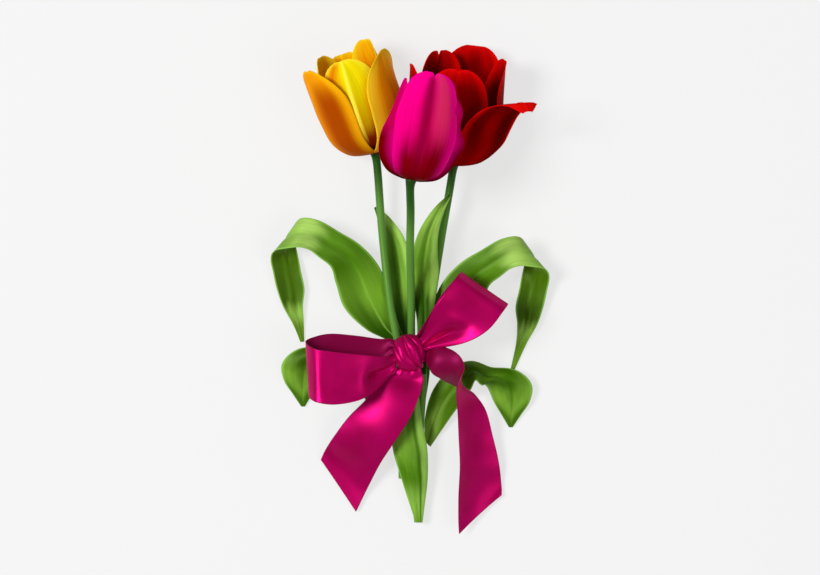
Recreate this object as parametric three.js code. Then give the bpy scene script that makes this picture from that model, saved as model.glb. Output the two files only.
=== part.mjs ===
// A bunch of three cut tulips with their leaves, tied with a satin ribbon in a bow and laid down on a flat surface.
// Millimetres. +Z is up from the surface, +Y runs along the stems from the cut ends to the flowers, +X is to the right.
// The origin is on the surface, under the middle of the bunch's bounding box.
import * as THREE from "three";

// ---------------------------------------------------------------- driving dimensions
const CLEARANCE = 0.5; // air between pieces that lie against each other
const TEPAL_THICKNESS = 1.0;
const LEAF_THICKNESS = 1.0;
const RIBBON_THICKNESS = 0.8;
const RIBBON_WIDTH = 34;
const STEM_RADIUS = 2.6;
const STEM_END_RADIUS = 2.3; // at the cut end
const RECEPTACLE_RADIUS = 4.0; // where the stem widens under the flower
const TEPAL_BASE_HALF_WIDTH = 3.6;
const STEM_TOP = 1.2; // the stem's top above the bottom of the flower's cup
const WHORL_GAP = 1.6; // air between the outer three tepals and the inner three
const PISTIL = { radius: 2.0, height: 21, stigma: 3.4 };
const STAMEN = { length: 19, filament: 0.7, anther: 1.3, lean: 14, circle: 3.2 };

// The tie: where the ribbon holds the stems together.
const TIE_Y = -42;
const BAND_WIDTH = 11; // the ribbon is gathered to this round the stems
const BAND_LIFT = 2; // the band's lowest point above the surface
const KNOT = { width: 21, length: 24, height: 15 };

// The flowers. lean turns a head to the left in plan, raise lifts its mouth off the surface, depth is how far it is
// pressed flat, and turn is the bearing of its first outer tepal, from straight up towards the right.
const YELLOW = { radius: 26, height: 66.8, lean: 18, raise: 12, depth: 0.88, turn: 61, neck: [-22.8, 88.7] };
const MAGENTA = { radius: 26, height: 66, lean: -11, raise: 0, depth: 0.82, turn: 12, neck: [1.5, 68.8] };
const RED = { radius: 30, height: 70, lean: -4, raise: 15, depth: 0.8, turn: 43, neck: [28.5, 80.8] };

// ---------------------------------------------------------------- colours
const matt = (color, roughness = 0.55) => new THREE.MeshStandardMaterial({ color, roughness, metalness: 0 });
const LOOK = {
  yellow: matt(0xe39208),
  magenta: matt(0xd0086a),
  red: matt(0xa80404),
  stem: matt(0x4c7a34),
  leaf: matt(0x4f8a1e),
  ribbon: matt(0xb80a60, 0.35),
  pistil: matt(0xb9c46a),
  stamen: matt(0x2a1a2e),
};

const bunch = new THREE.Group();
const mm = (x, y, z) => new THREE.Vector3(x, y, z);
const lerp = THREE.MathUtils.lerp;
const rad = THREE.MathUtils.degToRad;

function add(name, geometry, material, parent = bunch) {
  const mesh = new THREE.Mesh(geometry, material);
  mesh.name = name;
  parent.add(mesh);
  return mesh;
}

// ---------------------------------------------------------------- geometry builders
// A closed thin solid: a grid of points on surface(u, v), u 0..1 and v -1..1, thickened half each way.
function sheetGeometry(surface, rows, columns, thickness, spacing = (t) => t) {
  const grid = [];
  for (let i = 0; i <= rows; i++)
    for (let j = 0; j <= columns; j++) grid.push(surface(spacing(i / rows), (2 * j) / columns - 1));
  const at = (i, j) => i * (columns + 1) + j;
  const point = (i, j) => grid[at(THREE.MathUtils.clamp(i, 0, rows), THREE.MathUtils.clamp(j, 0, columns))];
  const front = [];
  const back = [];
  for (let i = 0; i <= rows; i++)
    for (let j = 0; j <= columns; j++) {
      const along = point(i + 1, j).clone().sub(point(i - 1, j));
      const across = point(i, j + 1).clone().sub(point(i, j - 1));
      const half = along.cross(across).setLength(thickness / 2);
      front.push(point(i, j).clone().add(half));
      back.push(point(i, j).clone().sub(half));
    }
  const n = grid.length;
  const index = [];
  const quad = (a, b, c, d) => index.push(a, b, c, a, c, d);
  const rim = (p, q) => quad(q, p, p + n, q + n);
  for (let i = 0; i < rows; i++)
    for (let j = 0; j < columns; j++) {
      const [a, b, c, d] = [at(i, j), at(i + 1, j), at(i + 1, j + 1), at(i, j + 1)];
      quad(a, b, c, d);
      index.push(a + n, c + n, b + n, a + n, d + n, c + n);
    }
  for (let i = 0; i < rows; i++) {
    rim(at(i, 0), at(i + 1, 0));
    rim(at(i + 1, columns), at(i, columns));
  }
  for (let j = 0; j < columns; j++) {
    rim(at(0, j + 1), at(0, j));
    rim(at(rows, j), at(rows, j + 1));
  }
  return new THREE.BufferGeometry().setFromPoints([...front, ...back]).setIndex(index);
}

// A strip such as a leaf or a ribbon. Each station is [x, y, z, across, width, camber]: a point on its middle line, the
// way its width points, its width, and how far its middle stands above its two edges.
function stripSurface(stations) {
  const smooth = (points) => new THREE.CatmullRomCurve3(points, false, "catmullrom", 0.5);
  const middle = smooth(stations.map(([x, y, z]) => mm(x, y, z)));
  const across = smooth(stations.map(([, , , side]) => mm(...side).normalize()));
  const size = smooth(stations.map(([, , , , width, camber]) => mm(width, camber, 0)));
  const tangent = (u) => middle.getPoint(Math.min(1, u + 0.01)).sub(middle.getPoint(Math.max(0, u - 0.01))).normalize();
  return (u, v) => {
    const along = tangent(u);
    const side = across.getPoint(u).normalize();
    const up = side.clone().cross(along).normalize();
    const { x: width, y: camber } = size.getPoint(u);
    return middle.getPoint(u).addScaledVector(side, (width / 2) * v).addScaledVector(up, camber * (1 - v * v));
  };
}

// A round stem through points, its radius given along it.
function stemGeometry(points, radiusAt, sides, steps) {
  const curve = new THREE.CatmullRomCurve3(points, false, "centripetal");
  const frames = curve.computeFrenetFrames(steps, false);
  const rings = [];
  for (let i = 0; i <= steps; i++) {
    const centre = curve.getPointAt(i / steps);
    const radius = radiusAt(i / steps);
    for (let k = 0; k < sides; k++) {
      const turn = (2 * Math.PI * k) / sides;
      rings.push(
        centre
          .clone()
          .addScaledVector(frames.normals[i], radius * Math.cos(turn))
          .addScaledVector(frames.binormals[i], radius * Math.sin(turn)),
      );
    }
  }
  const index = [];
  for (let i = 0; i < steps; i++)
    for (let k = 0; k < sides; k++) {
      const [a, b] = [i * sides + k, i * sides + ((k + 1) % sides)];
      index.push(a, b, b + sides, a, b + sides, a + sides);
    }
  for (let k = 1; k < sides - 1; k++) {
    index.push(0, k + 1, k);
    const top = steps * sides;
    index.push(top, top + k, top + k + 1);
  }
  return new THREE.BufferGeometry().setFromPoints(rings).setIndex(index);
}

// A flattened ball, used for the knot.
function cushionGeometry({ width, length, height }) {
  return new THREE.SphereGeometry(0.5, 20, 12).scale(width, length, height);
}

// ---------------------------------------------------------------- tulip heads
// A head is modelled round +Y from its base at the origin, with +Z as the side that faces up when it lies down.
const roundedCup = ({ radius, height }, open) => [
  [0.6 * radius, 0.05 * height],
  [0.89 * radius, 0.2 * height],
  [radius, 0.43 * height],
  [lerp(1, open, 0.4) * radius, 0.68 * height],
  [lerp(1, open, 0.78) * radius, 0.89 * height],
  [open * radius, height],
];

// One tepal: bearing round the head, radial offset of its whorl, width, how rounded its tip is (0.3 broad, 0.6 pointed),
// and either how open it is at the tip or the whole side profile as [radius, height] pairs.
function tepalSurface(head, { bearing, offset, width, open, tall = 1, tip = 0.6, profile }) {
  const side = profile || roundedCup({ radius: head.radius, height: head.height * tall }, open);
  const base = RECEPTACLE_RADIUS + CLEARANCE + TEPAL_THICKNESS;
  const curve = new THREE.SplineCurve([[base, 0], ...side].map(([r, h]) => new THREE.Vector2(r, h)));
  const WIDEST = 0.58;
  const TIP_CUT = 0.985;
  const halfWidth = (u) =>
    u < WIDEST
      ? lerp(TEPAL_BASE_HALF_WIDTH, width / 2, Math.sin((Math.PI / 2) * (u / WIDEST)))
      : (width / 2) * Math.pow(1 - (TIP_CUT * ((u - WIDEST) / (1 - WIDEST))) ** 2, tip);
  return (u, v) => {
    const { x, y } = curve.getPointAt(u);
    const slope = curve.getTangentAt(u);
    const radius = x + offset * slope.y;
    const turn = rad(bearing) + (v * halfWidth(u)) / Math.max(x, base);
    return mm(radius * Math.sin(turn), y - offset * slope.x, radius * Math.cos(turn));
  };
}

const tipSpacing = (t) => (1 - Math.cos(Math.PI * t)) / 2;

// Builds a head's six tepals, pistil and six stamens in a group of its own, and returns the group.
function buildHead(name, head, look, outer, inner) {
  const group = new THREE.Group();
  group.rotation.set(rad(head.raise), 0, rad(head.lean), "ZXY");
  group.scale.z = head.depth;
  group.position.set(head.neck[0], head.neck[1], 0);
  const half = (WHORL_GAP + TEPAL_THICKNESS) / 2;
  const whorl = (kind, tepals, start, offset) =>
    tepals.forEach((tepal, k) => {
      const bearing = start + 120 * k + (tepal.shift || 0);
      const surface = tepalSurface(head, { ...tepal, bearing, offset });
      const geometry = sheetGeometry(surface, 9, 6, TEPAL_THICKNESS, tipSpacing);
      add(`${name}_${kind}_tepal_${k + 1}`, geometry, look, group);
    });
  whorl("outer", outer, head.turn, half);
  whorl("inner", inner, head.turn + 60, -half);
  const top = STEM_TOP + CLEARANCE;
  const { radius, height, stigma } = PISTIL;
  const pistil = [
    [0, 0],
    [0.8 * radius, 0],
    [radius, 0.35 * height],
    [0.75 * radius, 0.78 * height],
    [stigma, 0.88 * height],
    [0.8 * stigma, height],
    [0, 0.94 * height],
  ];
  const lathe = (points, sides) =>
    new THREE.LatheGeometry(
      points.map(([r, h]) => new THREE.Vector2(r, h)),
      sides,
    );
  add(`${name}_pistil`, lathe(pistil, 9), LOOK.pistil, group).position.y = top;
  const stamen = [
    [0, 0],
    [STAMEN.filament, 0],
    [0.6 * STAMEN.filament, 0.42 * STAMEN.length],
    [STAMEN.anther, 0.5 * STAMEN.length],
    [STAMEN.anther, 0.9 * STAMEN.length],
    [0, STAMEN.length],
  ];
  for (let k = 0; k < 6; k++) {
    const turn = rad(60 * k + 30);
    const mesh = add(`${name}_stamen_${k + 1}`, lathe(stamen, 6), LOOK.stamen, group);
    mesh.position.set(STAMEN.circle * Math.sin(turn), top + STAMEN.filament, STAMEN.circle * Math.cos(turn));
    mesh.rotation.set(rad(STAMEN.lean), turn, 0, "YXZ");
  }
  return group;
}

// Height map of a group's points in plan: the highest or lowest z in each cell.
function heightMap(group, cell, pick) {
  group.updateMatrixWorld(true);
  const map = new Map();
  const a = mm(0, 0, 0);
  const [b, c] = [a.clone(), a.clone()];
  const STEPS = 6;
  group.traverse((mesh) => {
    if (!mesh.isMesh) return;
    const { position } = mesh.geometry.attributes;
    const index = mesh.geometry.index.array;
    for (let i = 0; i < index.length; i += 3) {
      [a, b, c].forEach((p, k) => p.fromBufferAttribute(position, index[i + k]).applyMatrix4(mesh.matrixWorld));
      for (let s = 0; s <= STEPS; s++)
        for (let t = 0; t <= STEPS - s; t++) {
          const [p, q] = [s / STEPS, t / STEPS];
          const spot = a.clone().lerp(b, p).addScaledVector(c.clone().sub(a), q);
          const key = `${Math.round(spot.x / cell)},${Math.round(spot.y / cell)}`;
          map.set(key, map.has(key) ? pick(map.get(key), spot.z) : spot.z);
        }
    }
  });
  return map;
}

// Lowers or raises a group until it just rests on the surface and on the groups below it.
function rest(group, below = []) {
  const CELL = 2;
  const under = heightMap(group, CELL, Math.min);
  let lift = -Math.min(...under.values());
  for (const support of below)
    for (const [key, z] of heightMap(support, CELL, Math.max))
      if (under.has(key)) lift = Math.max(lift, z - under.get(key) + CELL);
  group.position.z += lift;
}

const splayed = (radius, height) => [
  [0.6 * radius, 0.05 * height],
  [0.95 * radius, 0.2 * height],
  [1.1 * radius, 0.38 * height],
  [1.33 * radius, 0.55 * height],
  [1.72 * radius, 0.69 * height],
  [2.2 * radius, 0.73 * height],
];

const yellowHead = buildHead(
  "yellow",
  YELLOW,
  LOOK.yellow,
  [
    { width: 45, open: 1.0, tall: 0.92 },
    { width: 46, open: 0.9, tall: 0.93, tip: 0.5 },
    { width: 45, open: 1.12, tall: 0.95 },
  ],
  [
    { width: 45, open: 0.78, tall: 1.03, tip: 0.42 },
    { width: 44, open: 0.7, tip: 0.45 },
    { width: 48, open: 0.8, tall: 0.95, tip: 0.48, shift: -8 },
  ],
);
const redHead = buildHead(
  "red",
  RED,
  LOOK.red,
  [
    { width: 44, profile: splayed(RED.radius, RED.height) },
    { width: 48, open: 1.06, tall: 1.03, tip: 0.4 },
    { width: 45, open: 1.02, tall: 0.9 },
  ],
  [
    { width: 46, open: 1.0, tall: 0.97, tip: 0.42 },
    { width: 48, open: 0.74, tip: 0.4 },
    { width: 50, open: 0.85, tall: 0.92, tip: 0.42, shift: 14 },
  ],
);
const magentaHead = buildHead(
  "magenta",
  MAGENTA,
  LOOK.magenta,
  [
    { width: 45, open: 0.55, tip: 0.4 },
    { width: 45, open: 0.6, tall: 0.96, tip: 0.75, shift: -8 },
    { width: 45, open: 0.6, tall: 0.97, tip: 0.75, shift: 9 },
  ],
  [
    { width: 40, open: 0.42, tall: 0.93 },
    { width: 40, open: 0.42, tall: 0.93 },
    { width: 40, open: 0.42, tall: 0.93 },
  ],
);
rest(yellowHead);
rest(redHead);
rest(magentaHead, [yellowHead, redHead]);
bunch.add(yellowHead, redHead, magentaHead);

// ---------------------------------------------------------------- the stack at the tie
// From the surface up: the band, four leaf bases, the stems side by side, the sheath leaf's tip, the band, the knot.
const LAYER = LEAF_THICKNESS + CLEARANCE;
const leafLayer = (n) => BAND_LIFT + RIBBON_THICKNESS + CLEARANCE + LEAF_THICKNESS / 2 + n * LAYER;
const STEM_PITCH = 2 * STEM_RADIUS + CLEARANCE;
const STEM_Z = leafLayer(3) + LAYER / 2 + CLEARANCE + STEM_RADIUS;
const SHEATH_Z = STEM_Z + STEM_RADIUS + LAYER;
const BAND_TOP = SHEATH_Z + 1.5 * LAYER + RIBBON_THICKNESS;
const KNOT_Z = BAND_TOP + CLEARANCE + KNOT.height / 2;
const TIE_X = 1.5; // the middle stem at the tie
const TIE_PITCH = STEM_PITCH + 2.3; // the stems are a little apart there, with leaf between them
const BASE_DROP = 1.6; // how far the stems and the leaf bases have sunk a little below the tie

// ---------------------------------------------------------------- stems
// A stem leaves the middle of a head's base along the head's own axis and runs through the tie to its cut end.
function buildStem(name, head, slot, between, below) {
  head.updateMatrixWorld(true);
  const onAxis = (h) => mm(0, h, 0).applyMatrix4(head.matrixWorld);
  const tie = mm(TIE_X + slot * TIE_PITCH, TIE_Y, STEM_Z);
  const points = [onAxis(STEM_TOP), onAxis(-4), ...between(onAxis(0), tie), tie, ...below];
  const curve = new THREE.CatmullRomCurve3(points, false, "centripetal");
  const length = curve.getLength();
  const radiusAt = (t) => {
    const fromTop = t * length;
    const flare = Math.exp(-((fromTop / 5) ** 2)) * (RECEPTACLE_RADIUS - STEM_RADIUS);
    return lerp(STEM_RADIUS, STEM_END_RADIUS, t) + flare;
  };
  add(name, stemGeometry(points, radiusAt, 10, 44), LOOK.stem);
}

// The stems lie side by side on the surface at their cut ends.
const LOW_X = 1;
const MIDWAY_DOWN = STEM_Z / 2;
const lowEnd = (slot, y, z = STEM_RADIUS) => mm(LOW_X + slot * STEM_PITCH, y, z);
buildStem("yellow_stem", yellowHead, -1, (top, tie) => [mm(-17.2, 32, tie.z), mm(-12, -13, tie.z + 0.8)], [
  mm(TIE_X - 1.2 * STEM_PITCH, -70, STEM_Z - BASE_DROP),
  lowEnd(-1, -98, MIDWAY_DOWN),
  lowEnd(-1, -124),
]);
buildStem("magenta_stem", magentaHead, 0, (top, tie) => [
  mm(0.9, 48, lerp(tie.z, top.z, 0.85)),
  mm(0.6, 24, lerp(tie.z, top.z, 0.56)),
  mm(1.2, -4, lerp(tie.z, top.z, 0.24)),
], [
  mm(TIE_X + 0.4, -70, STEM_Z - BASE_DROP),
  lowEnd(0, -104, MIDWAY_DOWN - 1),
  lowEnd(0.2, -126),
  lowEnd(0.8, -152.5),
]);
buildStem("red_stem", redHead, 1, (top, tie) => [mm(20.7, 31, tie.z + 0.5), mm(13.8, -13, tie.z + 1.5)], [
  mm(TIE_X + 1.3 * STEM_PITCH, -64, STEM_Z - 0.7 * BASE_DROP),
  lowEnd(1.1, -92, MIDWAY_DOWN),
  lowEnd(1.1, -116),
]);

// ---------------------------------------------------------------- leaves
function buildLeaf(name, rows, stations) {
  add(name, sheetGeometry(stripSurface(stations), rows, 4, LEAF_THICKNESS), LOOK.leaf);
}

// The two arching leaves fold over at the outside, so that the tip half hangs back under the arch, its other face up.
function archStations(layer, mirror, dx, dy, tip) {
  const z = leafLayer(layer);
  const FIRST_FREE = 3;
  const list = [
    [-4, -74, z - BASE_DROP, [1, 0.05, 0], 7, 0],
    [-5.5, -58, z - BASE_DROP / 2, [1, 0.1, 0], 9, 0],
    [-6.5, TIE_Y - 4, z, [1, 0.1, 0], 8.5, 0],
    [-7.2, TIE_Y + 6, z, [1, 0.12, 0], 8.5, 0],
    [-17.5, -25, z + 0.7, [0.97, 0.25, 0], 21, 1.2],
    [-27, -9, z + 2.5, [0.95, 0.3, 0], 31, 3],
    [-33.5, 8, z + 6, [0.93, 0.36, 0], 30, 3],
    [-41, 20, z + 11, [0.8, 0.6, 0], 24, 2],
    [-51, 27, z + 15.5, [0.6, 0.8, 0], 21, 1.2],
    [-61.5, 33.5, z + 18, [0.3, 0.95, 0.05], 20, 0.8],
    [-71.5, 35, z + 17, [0.2, 0.95, -0.15], 19.5, 0.8],
    [-80, 30.5, z + 10, [0.5, 0.65, -0.5], 20, 0.5],
    [-81, 21, z + 2, [0.85, 0.35, -0.35], 19, 0.5],
    [-79.5, 11, z - 0.5, [0.98, 0.1, -0.1], 18, 1],
    [-77, -1, z - 1.5, [1, 0, 0], 18, 1],
    [-75.5, -12, z - 2, [1, 0.05, 0], 13, 0.8],
    [-72, -24, 1.6, [1, 0.1, 0], 7, 0.5],
    tip,
  ];
  return list.map(([x, y, height, [a, b, c], width, camber], k) => {
    const free = Math.min(1, Math.max(0, k - FIRST_FREE) / 2); // the bases stay in the tie
    return [
      mirror * (x - TIE_X) + TIE_X + dx * free,
      y + dy * free,
      height,
      mirror > 0 ? [a, b, c] : [a, -b, -c],
      width,
      camber,
    ];
  });
}
buildLeaf("left_arching_leaf", 46, archStations(1, 1, 0, 0, [-69.5, -35.5, 1, [1, 0.1, 0], 2.5, 0]));
buildLeaf("right_arching_leaf", 46, archStations(2, -1, -2, -12, [-66, -42, 1, [1, 0.1, 0], 2.5, 0]));

buildLeaf("left_upright_leaf", 20, [
  [-3, -72, leafLayer(0) - BASE_DROP, [1, 0, 0], 7, 0],
  [-3, -58, leafLayer(0) - BASE_DROP / 2, [1, 0, 0], 8, 0],
  [-3, TIE_Y, leafLayer(0), [1, 0, 0], 10, 0],
  [-4.5, -18, leafLayer(0), [1, 0.05, 0], 17, 0],
  [-6, 8, leafLayer(1), [1, 0.05, 0.1], 18, -1],
  [-9.5, 28, leafLayer(1), [1, 0.2, 0.1], 15, -1],
  [-15.5, 42, leafLayer(1), [0.9, 0.4, 0], 9, -0.5],
  [-22, 52, leafLayer(1), [0.8, 0.5, 0], 2, 0],
]);
buildLeaf("right_upright_leaf", 20, [
  [8.6, -56, SHEATH_Z, [1, 0, 0], 5.5, 0],
  [8.6, TIE_Y, SHEATH_Z, [1, 0, 0], 6.5, 0],
  [9.6, -30, SHEATH_Z + 0.3, [1, 0, 0], 9, 0.3],
  [9.8, -18, SHEATH_Z + 0.8, [1, 0, 0], 10.5, 0.6],
  [9.4, -5, SHEATH_Z + 1.6, [1, 0, 0], 16, 1],
  [9.2, 9, SHEATH_Z + 2.5, [1, 0, 0], 20, 1.5],
  [9.8, 21, SHEATH_Z + 3.5, [1, 0, 0], 17, 1],
  [13, 36, SHEATH_Z + 4.5, [0.9, -0.35, 0], 12, 1],
  [19, 49, SHEATH_Z + 5, [0.85, -0.5, 0], 7, 0.5],
  [26, 59, SHEATH_Z + 5, [0.8, -0.6, 0], 2, 0],
]);

// The sheath leaf clasps the cut end of the longest stem and runs up over the others to the knot.
buildLeaf("sheath_leaf", 18, [
  [6.4, -152.5, 2 * STEM_RADIUS + LAYER, [1, 0, 0], 4.4, 0.4],
  [5, -139, 2 * STEM_RADIUS + LAYER, [1, 0, 0], 10.5, 1],
  [3.4, -124, 2 * STEM_RADIUS + 2 * LAYER, [1, 0, 0], 17, 1.5],
  [0.6, -105, 8 + 3 * LAYER, [1, 0.05, 0], 22, 2],
  [-2, -86, 13 + 2 * LAYER, [1, 0.1, 0], 20, 1.5],
  [-1, -68, SHEATH_Z, [1, 0.1, 0], 14, 0],
  [0, TIE_Y - 10, SHEATH_Z, [1, 0.1, 0], 8, 0],
  [1, TIE_Y + 6, SHEATH_Z + 1, [1, 0, 0], 2.5, 0],
]);

// The two low leaves grow out beside the cut ends, bend over on edge and hang down in a heart-shaped tip.
function lowLeafStations(mirror, dx, dy) {
  const list = [
    [12, -102, 2, [0.72, -0.7, 0], 5, 0],
    [15, -90, 3, [0.72, -0.7, 0], 13.5, 0.8],
    [22, -74.5, 6.5, [0.74, -0.68, 0], 19.5, 1.2],
    [32, -61, 10, [0.66, -0.72, 0.2], 20, 1],
    [41, -54, 12, [0.2, -0.72, 0.66], 17, 0.5],
    [50, -57.5, 12, [-0.5, -0.75, 0.45], 15, 0.5],
    [59, -58.5, 10, [-0.95, -0.35, 0.2], 25, 1],
    [65, -64, 7.5, [-1, -0.05, 0.05], 29, 1.5],
    [66.5, -74, 4.5, [-1, 0, 0], 23.5, 1.5],
    [66.3, -83, 2.2, [-1, 0, 0], 12.5, 0.7],
    [66, -91, 0.9, [-1, 0, 0], 2.5, 0],
  ];
  return list.map(([x, y, z, [a, b, c], width, camber]) => [
    mirror * (x - LOW_X) + LOW_X + dx,
    y + dy,
    z,
    mirror > 0 ? [a, b, c] : [a, -b, -c],
    width,
    camber,
  ]);
}
buildLeaf("low_right_leaf", 26, lowLeafStations(1, 0, 0));
buildLeaf("low_left_leaf", 26, lowLeafStations(-1, -5, 13.5));

// ---------------------------------------------------------------- ribbon
// The band round the stems: an oval ring, its inside cleared for everything that passes through the tie.
function buildBand() {
  const halfWidth = STEM_PITCH + STEM_RADIUS + 2 * LAYER + 6;
  const inner = (BAND_TOP - BAND_LIFT) / 2 - RIBBON_THICKNESS;
  const oval = (a, b) => {
    const SQUARENESS = 2 / 4.5;
    const power = (x) => Math.sign(x) * Math.abs(x) ** SQUARENESS;
    const points = [];
    for (let k = 0; k < 32; k++) {
      const turn = (2 * Math.PI * k) / 32;
      points.push(new THREE.Vector2(a * power(Math.cos(turn)), b * power(Math.sin(turn))));
    }
    return points;
  };
  const ring = new THREE.Shape(oval(halfWidth + RIBBON_THICKNESS, inner + RIBBON_THICKNESS));
  ring.holes.push(new THREE.Path(oval(halfWidth, inner)));
  const band = add(
    "ribbon_band",
    new THREE.ExtrudeGeometry(ring, { depth: BAND_WIDTH, bevelEnabled: false, curveSegments: 1 }),
    LOOK.ribbon,
  );
  band.rotation.x = Math.PI / 2;
  band.position.set(TIE_X - 1, TIE_Y + BAND_WIDTH / 2, (BAND_TOP + BAND_LIFT) / 2);
}
buildBand();

add("bow_knot", cushionGeometry(KNOT), LOOK.ribbon).position.set(0, TIE_Y, KNOT_Z);

function buildRibbon(name, rows, stations) {
  add(name, sheetGeometry(stripSurface(stations), rows, 4, RIBBON_THICKNESS), LOOK.ribbon);
}

const GATHER = 11; // the ribbon's width where it is gathered into the knot
const SIDE = KNOT.width / 2 + CLEARANCE + RIBBON_THICKNESS;
const W = RIBBON_WIDTH;
buildRibbon("bow_loop_left", 34, [
  [-SIDE, -38.5, KNOT_Z - 2, [0, 1, 0.15], GATHER, 0],
  [-19, -42.5, KNOT_Z - 3, [-0.05, 1, 0.05], 0.55 * W, -1],
  [-34, -45, KNOT_Z - 2, [-0.05, 1, 0.02], 0.82 * W, -1.5],
  [-50, -45.5, KNOT_Z, [-0.05, 1, 0], 0.92 * W, -1.5],
  [-61, -48.5, KNOT_Z + 4, [-0.06, 1, 0], 0.96 * W, -1],
  [-65, -52, KNOT_Z + 10, [-0.06, 1, 0], W, 0],
  [-60, -56, KNOT_Z + 17, [-0.03, 1, 0], W, 1],
  [-47, -58, KNOT_Z + 19, [0.03, 1, 0], 0.98 * W, 1.5],
  [-31, -57.5, KNOT_Z + 16, [0.08, 1, 0], 0.86 * W, 2],
  [-19.5, -53.5, KNOT_Z + 10, [0.2, 1, 0], 0.64 * W, 1],
  [-SIDE, -45.5, KNOT_Z + 4, [0.3, 1, 0], GATHER, 0],
]);
buildRibbon("bow_loop_right", 34, [
  [SIDE - 2, -32.5, KNOT_Z - 2, [0.6, -0.8, 0], GATHER, 0],
  [18, -25, KNOT_Z - 2, [0.65, -0.75, 0], 0.5 * W, -1],
  [30, -15, KNOT_Z - 1, [0.7, -0.7, 0], 0.8 * W, -1.5],
  [41, -6, KNOT_Z + 1, [0.75, -0.65, 0], 0.96 * W, -1],
  [48, -0.5, KNOT_Z + 7, [0.82, -0.57, 0], 1.06 * W, 0],
  [44.8, -5, KNOT_Z + 14, [0.82, -0.57, 0], 1.08 * W, 1],
  [36, -16, KNOT_Z + 17, [0.77, -0.63, 0], 1.06 * W, 2.5],
  [25, -25.5, KNOT_Z + 14, [0.7, -0.7, 0], 0.84 * W, 2],
  [SIDE, -35, KNOT_Z + 4, [0.6, -0.8, 0], GATHER, 0],
]);

const BELOW = TIE_Y - KNOT.length / 2 - CLEARANCE - RIBBON_THICKNESS;
buildRibbon("ribbon_tail_left", 24, [
  [1, BELOW, KNOT_Z - 1, [1, 0.25, 0], GATHER + 4, 0],
  [-6.5, -64.5, KNOT_Z + 1, [0.95, -0.3, 0], 0.8 * W, 1.5],
  [-13.5, -78, KNOT_Z - 2, [0.89, -0.45, 0], 0.88 * W, 2],
  [-24.5, -92, KNOT_Z - 9, [0.86, -0.51, 0], 0.99 * W, 1.5],
  [-33.5, -105, 11, [0.84, -0.54, 0], 1.02 * W, 1.5],
  [-41, -118.5, 5, [0.71, -0.7, 0], 1.1 * W, 1],
  [-46, -129, 2.4, [0.56, -0.83, 0], 1.2 * W, 0.5],
]);
buildRibbon("ribbon_tail_right", 30, [
  [SIDE, -43, KNOT_Z + 1, [-0.2, -0.98, 0], GATHER, 0],
  [18, -46.5, KNOT_Z + 5, [-0.35, -0.93, -0.1], 0.5 * W, 1],
  [25.5, -50.5, KNOT_Z + 6, [-0.5, -0.8, -0.4], 0.57 * W, 0.5],
  [31.5, -57, KNOT_Z + 5, [-0.3, -0.5, -0.8], 0.6 * W, 0],
  [36, -66, KNOT_Z + 1, [0.5, -0.2, -0.85], 0.65 * W, 0],
  [40.3, -79, KNOT_Z - 5, [0.8, -0.05, -0.6], 0.68 * W, 0.5],
  [43, -98, 16.5, [0.82, 0, -0.56], 0.8 * W, 2],
  [44.9, -118, 12, [0.86, 0.12, -0.48], 0.88 * W, 2.5],
  [45.8, -135, 8, [0.84, 0.42, -0.34], 0.98 * W, 2],
  [46.2, -147.5, 5.5, [0.74, 0.66, -0.14], 1.1 * W, 1.5],
]);

// ---------------------------------------------------------------- origin
const box = new THREE.Box3().setFromObject(bunch, true);
bunch.position.set(-(box.min.x + box.max.x) / 2, -(box.min.y + box.max.y) / 2, -box.min.z);

export default bunch;
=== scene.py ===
"""Bunch of tulips tied with a satin ribbon, lying on a pale surface and seen from straight above."""

import math

import bpy
import numpy as np
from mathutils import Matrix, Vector


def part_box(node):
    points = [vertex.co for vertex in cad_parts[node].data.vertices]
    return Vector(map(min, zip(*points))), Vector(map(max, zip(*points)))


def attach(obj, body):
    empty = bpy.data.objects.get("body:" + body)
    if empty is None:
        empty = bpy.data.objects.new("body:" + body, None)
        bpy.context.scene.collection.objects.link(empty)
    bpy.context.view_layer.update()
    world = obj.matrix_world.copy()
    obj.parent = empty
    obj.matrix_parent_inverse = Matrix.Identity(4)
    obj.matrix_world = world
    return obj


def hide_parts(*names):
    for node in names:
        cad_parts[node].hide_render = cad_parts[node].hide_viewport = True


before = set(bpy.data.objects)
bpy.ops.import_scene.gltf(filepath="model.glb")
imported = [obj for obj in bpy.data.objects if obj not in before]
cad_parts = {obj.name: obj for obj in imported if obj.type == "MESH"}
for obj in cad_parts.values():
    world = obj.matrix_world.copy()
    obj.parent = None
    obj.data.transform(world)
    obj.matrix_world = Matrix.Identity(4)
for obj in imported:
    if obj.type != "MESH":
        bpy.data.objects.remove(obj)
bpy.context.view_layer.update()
MM = 0.001

# ---------------------------------------------------------------- sizes, in millimetres
CLEARANCE = 0.5
TEPAL_THICKNESS = 1.0
LEAF_THICKNESS = 1.0
RIBBON_THICKNESS = 0.8
RIBBON_WIDTH = 34.0
STEM_RADIUS = 2.6
STEM_END_RADIUS = 2.3
STEM_TOP = 1.2  # a stem's top above the bottom of its flower's cup
RECEPTACLE_RADIUS = 4.0
TEPAL_BASE_HALF_WIDTH = 3.6
WHORL_GAP = 1.6  # air between the outer three tepals and the inner three
TIE_X = 1.5
TIE_Y = -42.0
BASE_DROP = 1.6  # how far the leaves and stems sink from the tie to their cut ends
BAND_LIFT = 2.0  # from the surface to the underside of the band
KNOT = (21.0, 24.0, 15.0)

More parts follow.
